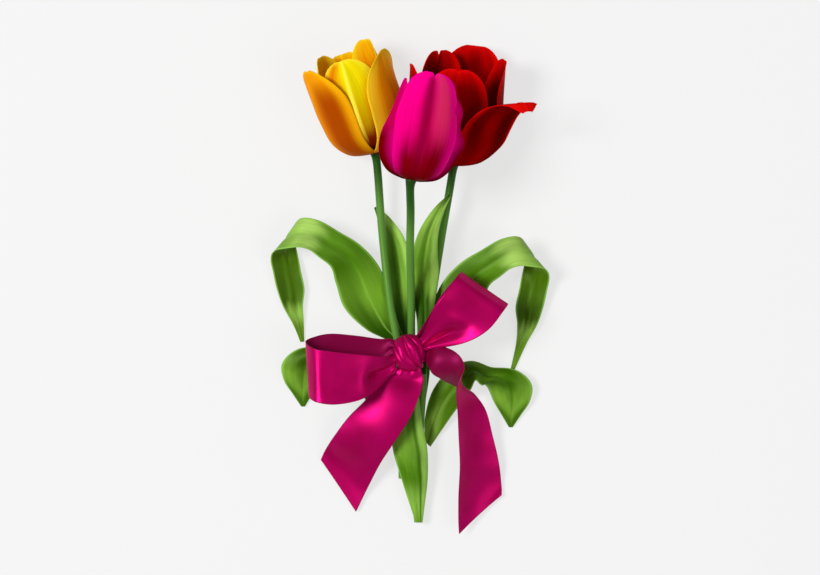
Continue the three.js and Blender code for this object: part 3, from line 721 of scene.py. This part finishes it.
def lathe_parts(profile, sides):
    """A closed turned solid round +Y. profile is radius and height pairs, from the axis to the axis."""
    ring = np.linspace(0, math.tau, sides, endpoint=False)
    body = np.array(profile[1:-1], float)
    points = [np.stack([r * np.cos(ring), np.full(sides, h), r * np.sin(ring)], axis=-1) for r, h in body]
    points = np.vstack(points + [[(0, profile[0][1], 0)], [(0, profile[-1][1], 0)]])
    index, after = rings(len(body), sides)
    low, last = index.size, index.size - sides
    faces = wall(index, after)
    for k, n in enumerate(after[0].tolist()):
        faces += [(low, k, n), (low + 1, last + n, last + k)]
    heights = (points[:, 1] - points[:, 1].min()) / np.ptp(points[:, 1])
    return points, faces, np.stack([np.zeros(len(points)), heights], axis=-1)


def rounded(profile, steps):
    """The same outline, smoothed."""
    body = catmull(profile, np.linspace(0, 1, steps), mirrored=False)
    body[0], body[-1] = profile[0], profile[-1]
    return [(max(r, 0.0), h) for r, h in body]


STAMEN_LEAN = math.radians(14)
STAMEN_RISE = 0.7
STAMEN_OUT = 3.2


def build_middle(name):
    """A pistil of three lobes with six stamens round it."""
    head = HEADS[name]
    top = STEM_TOP + CLEARANCE
    outline = [(0, 0), (1.6, 0), (2.0, 7.3), (1.5, 16.4), (3.4, 18.5), (2.7, 21), (0, 19.7)]
    points, faces, uvs = lathe_parts(rounded(outline, 18), 36)
    lobes = 1 + 0.3 * ease(points[:, 1], 15.0, 18.5) * np.cos(3 * np.arctan2(points[:, 2], points[:, 0]))
    slim = 0.94 * lobes
    points = points * np.stack([slim, np.ones_like(slim), slim], axis=-1) + [0, top, 0]
    parts = turned(head, points, head["z"]), faces, uvs
    make_object(f"{name}_pistil_body", parts, PISTIL_SKIN, f"{name}_pistil")
    outline = [(0, 0), (0.7, 0), (0.42, 8), (1.3, 9.5), (1.3, 17.1), (0, 19)]
    points, faces, uvs = lathe_parts(rounded(outline, 16), 16)
    x0, y0, z0 = points.T
    z0 = z0 * (1 - 0.35 * ease(y0, 9.0, 10.0) * bump(x0, 0, 0.5))  # an anther has a groove down each face
    sin, cos = math.sin(STAMEN_LEAN), math.cos(STAMEN_LEAN)
    y = y0 * cos - z0 * sin + top + STAMEN_RISE
    out = y0 * sin + z0 * cos + STAMEN_OUT
    for k in range(6):
        turn = math.radians(60 * k + 30)
        x, z = x0 * math.cos(turn) + out * math.sin(turn), out * math.cos(turn) - x0 * math.sin(turn)
        parts = turned(head, np.stack([x, y, z], axis=-1), head["z"]), faces, uvs
        node = f"{name}_stamen_{k + 1}"
        make_object(f"{node}_body", parts, STAMEN_SKIN, node)


for flower in HEADS:
    build_middle(flower)


# ---------------------------------------------------------------- stems
LOW_X = 1.0  # the middle of the row of cut ends
MIDWAY = STEM_Z / 2


def tube_parts(path, radii, sides):
    """A closed tube along a path, a little uneven round."""
    tangent = unit(np.gradient(path, axis=0))
    normal = unit(np.cross(tangent, [0.0, 0.0, 1.0]))
    other = np.cross(tangent, normal)
    ring = np.linspace(0, math.tau, sides, endpoint=False)
    wobble = 1 + 0.02 * np.sin(3 * ring)[None, :] * np.sin(np.linspace(0, 19, len(path)))[:, None]
    r = radii[:, None] * wobble
    points = path[:, None] + normal[:, None] * (r * np.cos(ring))[..., None]
    points = points + other[:, None] * (r * np.sin(ring))[..., None]
    index, after = rings(len(path), sides)
    faces = wall(index, after) + [index[0].tolist(), index[-1, ::-1].tolist()]
    u = np.repeat(np.linspace(0, 1, len(path)), sides)
    around = np.tile(np.abs(np.linspace(-1, 1, sides, endpoint=False)), len(path))
    return points.reshape(-1, 3), faces, np.stack([around, u], axis=-1)


def low_end(slot, y, z=STEM_RADIUS):
    """A place in the row of stems that lie side by side at their cut ends."""
    return (LOW_X + slot * STEM_PITCH, y, z)


def build_stem(name, slot, between, below):
    """A stem from its flower, through the places that between gives for the heights of the tie and the
    flower, to the tie, and on to the cut end."""
    head = HEADS[name]
    on_axis = turned(head, np.array([(0, STEM_TOP, 0), (0, -4, 0), (0, 0, 0)], float), head["z"])
    tie = (TIE_X + slot * TIE_PITCH, TIE_Y, STEM_Z)
    free = np.array([*between(tie[2], on_axis[2][2]), tie, *below], float) + SHIFT
    path = centripetal(np.vstack([on_axis[:2], free]), 240)
    t = np.linspace(0, 1, len(path))
    gone = t * np.linalg.norm(np.diff(path, axis=0), axis=1).sum()
    flare = bump(gone, 0, 5) * (RECEPTACLE_RADIUS - STEM_RADIUS)
    radii = share(STEM_RADIUS, STEM_END_RADIUS, t) + flare
    make_object(f"{name}_stalk", tube_parts(path, radii, 28), STEM, f"{name}_stem")


build_stem(
    "yellow",
    -1,
    lambda z, top: [(-17.2, 32, z), (-12, -13, z + 0.8)],
    [(TIE_X - 1.2 * STEM_PITCH, -70, STEM_Z - BASE_DROP), low_end(-1, -98, MIDWAY), low_end(-1, -124)],
)
build_stem(
    "magenta",
    0,
    lambda z, top: [
        (0.9, 48, share(z, top, 0.85)),
        (0.6, 24, share(z, top, 0.56)),
        (1.2, -4, share(z, top, 0.24)),
    ],
    [
        (TIE_X + 0.4, -70, STEM_Z - BASE_DROP),
        low_end(0, -104, MIDWAY - 1),
        low_end(0.2, -126),
        low_end(0.8, -152.5),
    ],
)
build_stem(
    "red",
    1,
    lambda z, top: [(20.7, 31, z + 0.5), (13.8, -13, z + 1.5)],
    [
        (TIE_X + 1.3 * STEM_PITCH, -64, STEM_Z - 0.7 * BASE_DROP),
        low_end(1.1, -92, MIDWAY),
        low_end(1.1, -116),
    ],
)


# ---------------------------------------------------------------- leaves
def build_leaf(node, look, stations, rows=140, columns=28, fold=0.8, waves=()):
    """A leaf: a strip with a channel along its middle and a gently waved margin."""
    u, v = grid(rows, columns)
    p, up, width = strip(stations, u, v)
    full = np.clip(width / 16, 0, 1)
    lift = -fold * bump(v, 0, 0.16) * full
    for amount, count, start in waves:
        lift = lift + amount * v**2 * np.sin(math.tau * count * u + start) * full
    p = p + up * lift[..., None] + SHIFT
    thick = LEAF_THICKNESS * (0.4 + 0.6 * (1 - np.abs(v) ** 3))
    make_object(node.replace("_leaf", "_blade"), sheet_parts(p, thick), LEAVES[look], node)


def mirrored(stations, about, dx, dy, first_free=-2):
    """The stations turned left to right about x = about, and moved by dx and dy past the first free one."""
    out = []
    for k, (x, y, z, (a, b, c), width, camber) in enumerate(stations):
        free = min(1.0, max(0.0, (k - first_free) / 2))
        out.append((about - (x - about) + dx * free, y + dy * free, z, (a, -b, -c), width, camber))
    return out


def arch_stations(layer, tip):
    z = leaf_layer(layer)
    return [
        (-4, -74, z - BASE_DROP, (1, 0.05, 0), 7, 0),
        (-5.5, -58, z - BASE_DROP / 2, (1, 0.1, 0), 9, 0),
        (-6.5, TIE_Y - 4, z, (1, 0.1, 0), 8.5, 0),
        (-7.2, TIE_Y + 6, z, (1, 0.12, 0), 8.5, 0),
        (-17.5, -25, z + 0.7, (0.97, 0.25, 0), 21, 1.2),
        (-27, -9, z + 2.5, (0.95, 0.3, 0), 31, 3),
        (-33.5, 8, z + 6, (0.93, 0.36, 0), 30, 3),
        (-41, 20, z + 11, (0.8, 0.6, 0), 24, 2),
        (-51, 27, z + 15.5, (0.6, 0.8, 0), 21, 1.2),
        (-61.5, 33.5, z + 18, (0.3, 0.95, 0.05), 20, 0.8),
        (-71.5, 35, z + 17, (0.2, 0.95, -0.15), 19.5, 0.8),
        (-80, 30.5, z + 10, (0.5, 0.65, -0.5), 20, 0.5),
        (-81, 21, z + 2, (0.85, 0.35, -0.35), 19, 0.5),
        (-79.5, 11, z - 0.5, (0.98, 0.1, -0.1), 18, 1),
        (-77, -1, z - 1.5, (1, 0, 0), 18, 1),
        (-75.5, -12, z - 2, (1, 0.05, 0), 13, 0.8),
        (-72, -24, 1.6, (1, 0.1, 0), 7, 0.5),
        tip,
    ]


ARCH_WAVES = ((0.7, 3.2, 0.5), (0.35, 7.1, 1.9))
build_leaf(
    "left_arching_leaf",
    "arch",
    arch_stations(1, (-69.5, -35.5, 1, (1, 0.1, 0), 2.5, 0)),
    rows=260,
    waves=ARCH_WAVES,
)
build_leaf(
    "right_arching_leaf",
    "arch",
    mirrored(arch_stations(2, (-66, -42, 1, (1, 0.1, 0), 2.5, 0)), TIE_X, -2, -12, first_free=3),
    rows=260,
    waves=ARCH_WAVES,
)
build_leaf(
    "left_upright_leaf",
    "upright",
    [
        (-3, -72, leaf_layer(0) - BASE_DROP, (1, 0, 0), 7, 0),
        (-3, -58, leaf_layer(0) - BASE_DROP / 2, (1, 0, 0), 8, 0),
        (-3, TIE_Y, leaf_layer(0), (1, 0, 0), 10, 0),
        (-4.5, -18, leaf_layer(0), (1, 0.05, 0), 17, 0),
        (-6, 8, leaf_layer(1), (1, 0.05, 0.1), 18, -1),
        (-9.5, 28, leaf_layer(1), (1, 0.2, 0.1), 15, -1),
        (-15.5, 42, leaf_layer(1), (0.9, 0.4, 0), 9, -0.5),
        (-22, 52, leaf_layer(1), (0.8, 0.5, 0), 2, 0),
    ],
    fold=0.3,
)
build_leaf(
    "right_upright_leaf",
    "upright",
    [
        (8.6, -56, SHEATH_Z, (1, 0, 0), 5.5, 0),
        (8.6, TIE_Y, SHEATH_Z, (1, 0, 0), 6.5, 0),
        (9.6, -30, SHEATH_Z + 0.3, (1, 0, 0), 9, 0.3),
        (9.8, -18, SHEATH_Z + 0.8, (1, 0, 0), 10.5, 0.6),
        (9.4, -5, SHEATH_Z + 1.6, (1, 0, 0), 16, 1),
        (9.2, 9, SHEATH_Z + 2.5, (1, 0, 0), 20, 1.5),
        (9.8, 21, SHEATH_Z + 3.5, (1, 0, 0), 17, 1),
        (13, 36, SHEATH_Z + 4.5, (0.9, -0.35, 0), 12, 1),
        (19, 49, SHEATH_Z + 5, (0.85, -0.5, 0), 7, 0.5),
        (26, 59, SHEATH_Z + 5, (0.8, -0.6, 0), 2, 0),
    ],
    waves=((0.4, 2.0, 0.3),),
)
build_leaf(
    "sheath_leaf",
    "sheath",
    [
        (6.4, -152.5, 2 * STEM_RADIUS + LAYER, (1, 0, 0), 4.4, 0.4),
        (5, -139, 2 * STEM_RADIUS + LAYER, (1, 0, 0), 10.5, 1),
        (3.4, -124, 2 * STEM_RADIUS + 2 * LAYER, (1, 0, 0), 17, 1.5),
        (0.6, -105, 8 + 3 * LAYER, (1, 0.05, 0), 22, 2),
        (-2, -86, 13 + 2 * LAYER, (1, 0.1, 0), 20, 1.5),
        (-1, -68, SHEATH_Z, (1, 0.1, 0), 14, 0),
        (0, TIE_Y - 10, SHEATH_Z, (1, 0.1, 0), 8, 0),
        (1, TIE_Y + 6, SHEATH_Z + 1, (1, 0, 0), 2.5, 0),
    ],
    fold=0.6,
)
LOW_LEAF = [
    (12, -102, 2, (0.72, -0.7, 0), 5, 0),
    (15, -90, 3, (0.72, -0.7, 0), 13.5, 0.8),
    (22, -74.5, 6.5, (0.74, -0.68, 0), 19.5, 1.2),
    (32, -61, 10, (0.66, -0.72, 0.2), 20, 1),
    (41, -54, 12, (0.2, -0.72, 0.66), 17, 0.5),
    (50, -57.5, 12, (-0.5, -0.75, 0.45), 15, 0.5),
    (59, -58.5, 10, (-0.95, -0.35, 0.2), 25, 1),
    (65, -64, 7.5, (-1, -0.05, 0.05), 29, 1.5),
    (66.5, -74, 4.5, (-1, 0, 0), 23.5, 1.5),
    (66.3, -83, 2.2, (-1, 0, 0), 12.5, 0.7),
    (66, -91, 0.9, (-1, 0, 0), 2.5, 0),
]
build_leaf("low_right_leaf", "low", LOW_LEAF, rows=200)
build_leaf("low_left_leaf", "low", mirrored(LOW_LEAF, LOW_X, -5, 13.5), rows=200)


# ---------------------------------------------------------------- ribbon
GATHER = 11.0  # the ribbon's width where it goes into the knot
SIDE = KNOT[0] / 2 + CLEARANCE + RIBBON_THICKNESS
BELOW = TIE_Y - KNOT[1] / 2 - CLEARANCE - RIBBON_THICKNESS
W = RIBBON_WIDTH
LOOP_CREASE = (0.6, 0, 0.03, 1.2, 0.3, -1.2)


def squared(x, power):
    """A sine or cosine, for a circle that gets squarer as power gets smaller than 1."""
    return np.sign(x) * np.abs(x) ** power


def flat_size(p):
    """The width and length that a ribbon was cut to, in metres, from its grid of points."""
    long = np.linalg.norm(np.diff(p, axis=0), axis=2).sum(axis=0).mean()
    return RIBBON_WIDTH * MM, long * MM


def into_knot(station, depth=4.5):
    """A further station inside the knot, where the ribbon runs on out of sight."""
    place = np.array(station[:3])
    inward = unit(np.array([0, TIE_Y, KNOT_Z]) - place)
    return (*(place + inward * depth), station[3], 0.8 * station[4], station[5])


def build_ribbon(node, stations, rows=200, columns=44, gathers=(), creases=(), held="gathered"):
    """A stretch of ribbon. A gather runs from an end and fades: end, reach, height, count and start.
    A crease is a place along and across, its reach along and across, its slant and its height."""
    stations = [into_knot(stations[0]), *stations]
    if held == "gathered":
        stations.append(into_knot(stations[-1]))
    u, v = grid(rows, columns)
    p, up, width = strip(stations, u, v)
    lift = np.zeros_like(u)
    for end, reach, height, count, start in gathers:
        wave = np.sin(math.pi * count * v + start)
        lift = lift + height * bump(u, end, reach) * wave * (1 - 0.4 * v * v)
    for at_u, at_v, wide_u, wide_v, slant, height in creases:
        lift = lift + height * bump(u, at_u, wide_u) * bump(v + slant * (u - at_u), at_v, wide_v)
    p = p + up * lift[..., None] + SHIFT
    size = flat_size(p)
    parts = sheet_parts(p, RIBBON_THICKNESS * 0.7, (size[0] / MM, size[1] / MM))
    uvs = parts[2]
    uvs[len(uvs) // 2 :, 0] += REVERSE
    piece = make_object(node + "_satin", parts, RIBBON, node)


build_ribbon(
    "bow_loop_left",
    [
        (-SIDE, -38.5, KNOT_Z - 2, (0, 1, 0.15), GATHER, 0),
        (-19, -42.5, KNOT_Z - 3, (-0.05, 1, 0.05), 0.55 * W, -1),
        (-34, -45, KNOT_Z - 2, (-0.05, 1, 0.02), 0.82 * W, -1.5),
        (-50, -45.5, KNOT_Z, (-0.05, 1, 0), 0.92 * W, -1.5),
        (-61, -48.5, KNOT_Z + 4, (-0.06, 1, 0), 0.96 * W, -1),
        (-65, -52, KNOT_Z + 10, (-0.06, 1, 0), W, 0),
        (-60, -56, KNOT_Z + 17, (-0.03, 1, 0), W, 1),
        (-47, -58, KNOT_Z + 19, (0.03, 1, 0), 0.98 * W, 1.5),
        (-31, -57.5, KNOT_Z + 16, (0.08, 1, 0), 0.86 * W, 2),
        (-19.5, -55.3, KNOT_Z + 10, (0.2, 1, 0), 0.66 * W, 1.5),
        (-SIDE, -51.3, KNOT_Z + 4, (0.3, 1, 0), GATHER + 5, 0),
    ],
    gathers=((0, 0.1, 1.0, 2, 0.4), (1, 0.1, 0.8, 2, 1.0)),
    creases=((0.85, -0.15, 0.06, 0.3, 1.0, 4.5), (0.76, 0, 0.04, 0.6, 1.5, -1.8), LOOP_CREASE),
)
build_ribbon(
    "bow_loop_right",
    [
        (SIDE - 2, -32.5, KNOT_Z - 2, (0.6, -0.8, 0), GATHER, 0),
        (18, -25, KNOT_Z - 2, (0.65, -0.75, 0), 0.5 * W, -1),
        (30, -15, KNOT_Z - 1, (0.7, -0.7, 0), 0.8 * W, -1.5),
        (41, -6, KNOT_Z + 1, (0.75, -0.65, 0), 0.96 * W, -1),
        (48, -0.5, KNOT_Z + 7, (0.82, -0.57, 0), 1.06 * W, 0),
        (44.8, -5, KNOT_Z + 14, (0.82, -0.57, 0), 1.08 * W, 1),
        (36, -16, KNOT_Z + 17, (0.77, -0.63, 0), 1.06 * W, 2.5),
        (25, -25.5, KNOT_Z + 14, (0.7, -0.7, 0), 0.84 * W, 2),
        (SIDE, -35, KNOT_Z + 4, (0.6, -0.8, 0), GATHER, 0),
    ],
    gathers=((0, 0.1, 1.0, 2, 0.4), (1, 0.13, 1.0, 2, 0.0)),
    creases=((0.84, 0.3, 0.08, 0.28, 1.0, 3.6), (0.74, 0.1, 0.05, 0.7, 1.6, -1.6), LOOP_CREASE),
)
build_ribbon(
    "ribbon_tail_left",
    [
        (-2, BELOW, KNOT_Z - 1, (1, 0.1, 0), GATHER + 9, 0),
        (-4.5, -58.5, KNOT_Z, (0.98, -0.1, 0), 0.8 * W, 0.5),
        (-8, -66, KNOT_Z + 0.5, (0.95, -0.3, 0.05), 0.88 * W, -1),
        (-13.5, -78, KNOT_Z - 2, (0.88, -0.45, 0.16), 0.9 * W, -2.5),
        (-24.5, -92, KNOT_Z - 6, (0.84, -0.5, 0.2), W, -2.5),
        (-33.5, -105, 14, (0.84, -0.54, 0.06), 1.02 * W, -1.5),
        (-41, -118.5, 5, (0.71, -0.7, 0), 1.1 * W, 0.5),
        (-46, -129, 2.4, (0.56, -0.83, 0), 1.2 * W, 0.5),
    ],
    gathers=((0, 0.14, 0.9, 2, 0.2),),
    creases=((0.28, 0.5, 0.1, 0.5, 0.8, 1.4),),
    held="draped",
)
build_ribbon(
    "ribbon_tail_right",
    [
        (SIDE, -43, KNOT_Z + 1, (-0.2, -0.98, 0), GATHER, 0),
        (18, -46.5, KNOT_Z + 5, (-0.35, -0.93, -0.1), 0.54 * W, 3.5),
        (25.5, -50.5, KNOT_Z + 6, (-0.5, -0.8, -0.4), 0.62 * W, 3),
        (31.5, -57, KNOT_Z + 5, (-0.3, -0.5, -0.8), 0.68 * W, 1),
        (36, -66, KNOT_Z + 1, (0.5, -0.2, -0.85), 0.65 * W, 0),
        (40.3, -79, KNOT_Z - 5, (0.8, -0.05, -0.6), 0.68 * W, 0.5),
        (43, -98, 16.5, (0.82, 0, -0.56), 0.8 * W, 2),
        (44.9, -118, 12, (0.86, 0.12, -0.48), 0.88 * W, 2.5),
        (45.8, -135, 8, (0.84, 0.42, -0.34), 0.98 * W, 2),
        (46.2, -147.5, 5.5, (0.74, 0.66, -0.14), 1.1 * W, 1.5),
    ],
    gathers=((0, 0.07, 0.8, 2, 0.2),),
    creases=((0.78, 0, 0.07, 1.4, 0.4, -2.4), (0.55, 0.2, 0.05, 1.2, 0.6, 1.2)),
    held="draped",
)


def build_band():
    """The ribbon round the stems, folded narrow, so that it is creased along its length."""
    low, high = (np.array(c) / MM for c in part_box("ribbon_band"))
    centre, size = (low + high) / 2, (high - low) / 2 - RIBBON_THICKNESS / 2
    rows, columns = 160, 24
    turn = np.linspace(0, math.tau, rows + 1)
    x, z = size[0] * squared(np.cos(turn), 2 / 4.5), size[2] * squared(np.sin(turn), 2 / 4.5)
    v = np.linspace(-1, 1, columns + 1)
    crease = 0.35 * np.sin(7 * v)[None, :] * (0.6 + 0.4 * np.sin(5 * turn))[:, None]
    scale = 1 - 0.02 * np.abs(crease)
    p = np.empty((rows + 1, columns + 1, 3))
    p[..., 0] = centre[0] + x[:, None] * scale + 0.3 * crease * np.cos(turn)[:, None]
    p[..., 1] = centre[1] + size[1] * v[None, :]
    p[..., 2] = centre[2] + z[:, None] * scale
    ring = p[:-1]
    outward = np.stack([np.cos(turn[:-1]), np.zeros(rows), np.sin(turn[:-1])], axis=-1)[:, None]
    half = RIBBON_THICKNESS * 0.4
    points = np.vstack([(ring + outward * half).reshape(-1, 3), (ring - outward * half).reshape(-1, 3)])
    index = np.arange(rows * (columns + 1)).reshape(rows, columns + 1)
    after = np.roll(index, -1, axis=0)
    count = index.size
    outer = np.stack([index[:, :-1], index[:, 1:], after[:, 1:], after[:, :-1]], axis=-1).reshape(-1, 4)
    low_rim = np.stack([after[:, 0], after[:, 0] + count, index[:, 0] + count, index[:, 0]], axis=-1)
    high_rim = np.stack([index[:, -1], index[:, -1] + count, after[:, -1] + count, after[:, -1]], axis=-1)
    faces = np.vstack([outer, outer[:, ::-1] + count, low_rim, high_rim]).tolist()
    round_it = np.linspace(0, 100, rows)
    uv = np.stack(np.meshgrid(round_it, (v + 1) / 2 * W, indexing="ij"), axis=-1)[..., ::-1].reshape(-1, 2)
    parts = points, faces, np.vstack([uv, uv])
    piece = make_object("ribbon_band_satin", parts, RIBBON, "ribbon_band")


build_band()


def build_knot():
    """The knot: the ribbon wrapped over itself, with a leaf-shaped fold that slants across its front."""
    centre = middle("bow_knot")
    rows, columns = 120, 96
    lat = np.linspace(0, math.pi, rows + 1)[1:-1, None]
    lon = np.linspace(0, math.tau, columns, endpoint=False)[None, :]
    x, y, z = np.sin(lat) * np.cos(lon), np.cos(lat) * np.ones_like(lon), np.sin(lat) * np.sin(lon)
    across = x + 0.57 * y - 0.3
    side = 0.3 * (1 - y * y) + 0.03  # the leaf-shaped fold's half width
    folds = 1.7 * np.clip(1 - (across / side) ** 2, 0, 1) ** 0.6 + 0.15 * np.cos(11 * across)
    folds = folds - 1.5 * bump(across, side, 0.06) - 1.7 * bump(across, -side, 0.06)
    folds = folds + 1.0 * bump(across, -0.8, 0.2) - 0.9 * bump(across + 0.3 * y, -1.02, 0.05)
    folds = folds * np.clip(1.25 - np.abs(y), 0, 1) * ease(z, -0.6, 0.1)
    x, y = squared(x, 0.86), squared(y, 0.86)
    half = np.array(KNOT) / 2
    p = np.stack([x * half[0], y * half[1], z * half[2]], axis=-1)
    p = p + unit(np.stack([x / half[0], y / half[1], z / half[2]], axis=-1)) * folds[..., None]
    index, after = rings(rows - 1, columns)
    faces = np.stack([index[:-1], after[:-1], after[1:], index[1:]], axis=-1).reshape(-1, 4).tolist()
    tops = np.array([[0, half[1], 0], [0, -half[1], 0]])
    points = np.vstack([p.reshape(-1, 3), tops]) + centre
    top, last = index.size, index.size - columns
    for k, n in enumerate(after[0].tolist()):
        faces += [[top, n, k], [top + 1, last + k, last + n]]
    uv = np.stack([(across + 1) * 12 + 0 * lat, lat * 12 + 0 * lon], axis=-1).reshape(-1, 2)
    uvs = np.vstack([uv, [[12, 0], [12, 36]]])
    make_object("bow_knot_satin", (points, faces, uvs), RIBBON, "bow_knot")


build_knot()


# ---------------------------------------------------------------- floor, light and camera
FLOOR_HALF = 6.0
FLOOR_Z = -0.0005  # just under the bunch
CAMERA_HEIGHT = 2.0


def build_studio():
    corners = [(x * FLOOR_HALF, y * FLOOR_HALF, 0) for x, y in ((-1, -1), (1, -1), (1, 1), (-1, 1))]
    mesh = bpy.data.meshes.new("floor")
    mesh.from_pydata(corners, [], [(0, 1, 2, 3)])
    s = Shader("pale_floor", Roughness=0.9, Specular_IOR_Level=0.0, Emission_Strength=0.74)
    s.bsdf.inputs["Base Color"].default_value = rgb(128, 128, 128)
    s.bsdf.inputs["Emission Color"].default_value = rgb(245, 245, 245)
    mesh.materials.append(s.material)
    floor = bpy.data.objects.new("floor", mesh)
    floor.location.z = FLOOR_Z
    bpy.context.scene.collection.objects.link(floor)

    world = bpy.data.worlds.new("studio")
    world.use_nodes = True
    background = world.node_tree.nodes["Background"]
    background.inputs["Color"].default_value = (1, 1, 1, 1)
    background.inputs["Strength"].default_value = 0.32
    bpy.context.scene.world = world

    def area(name, place, size, power):
        light = bpy.data.lights.new(name, "AREA")
        light.shape = "DISK"
        light.size = size
        light.energy = power
        lamp = bpy.data.objects.new(name, light)
        lamp.location = place
        lamp.rotation_euler = (-Vector(place)).to_track_quat("-Z", "Y").to_euler()
        bpy.context.scene.collection.objects.link(lamp)

    area("key", (-1.9, 0.35, 2.85), 1.2, 92.0)
    area("fill", (1.9, -0.9, 2.7), 2.0, 22.0)


def build_camera():
    data = bpy.data.cameras.new("camera")
    data.lens = 135.0
    data.sensor_width = 36.0
    camera = bpy.data.objects.new("camera", data)
    camera.location = (0, 0, CAMERA_HEIGHT)
    bpy.context.scene.collection.objects.link(camera)
    bpy.context.scene.camera = camera


build_studio()
build_camera()
bpy.context.scene.view_settings.view_transform = "Standard"
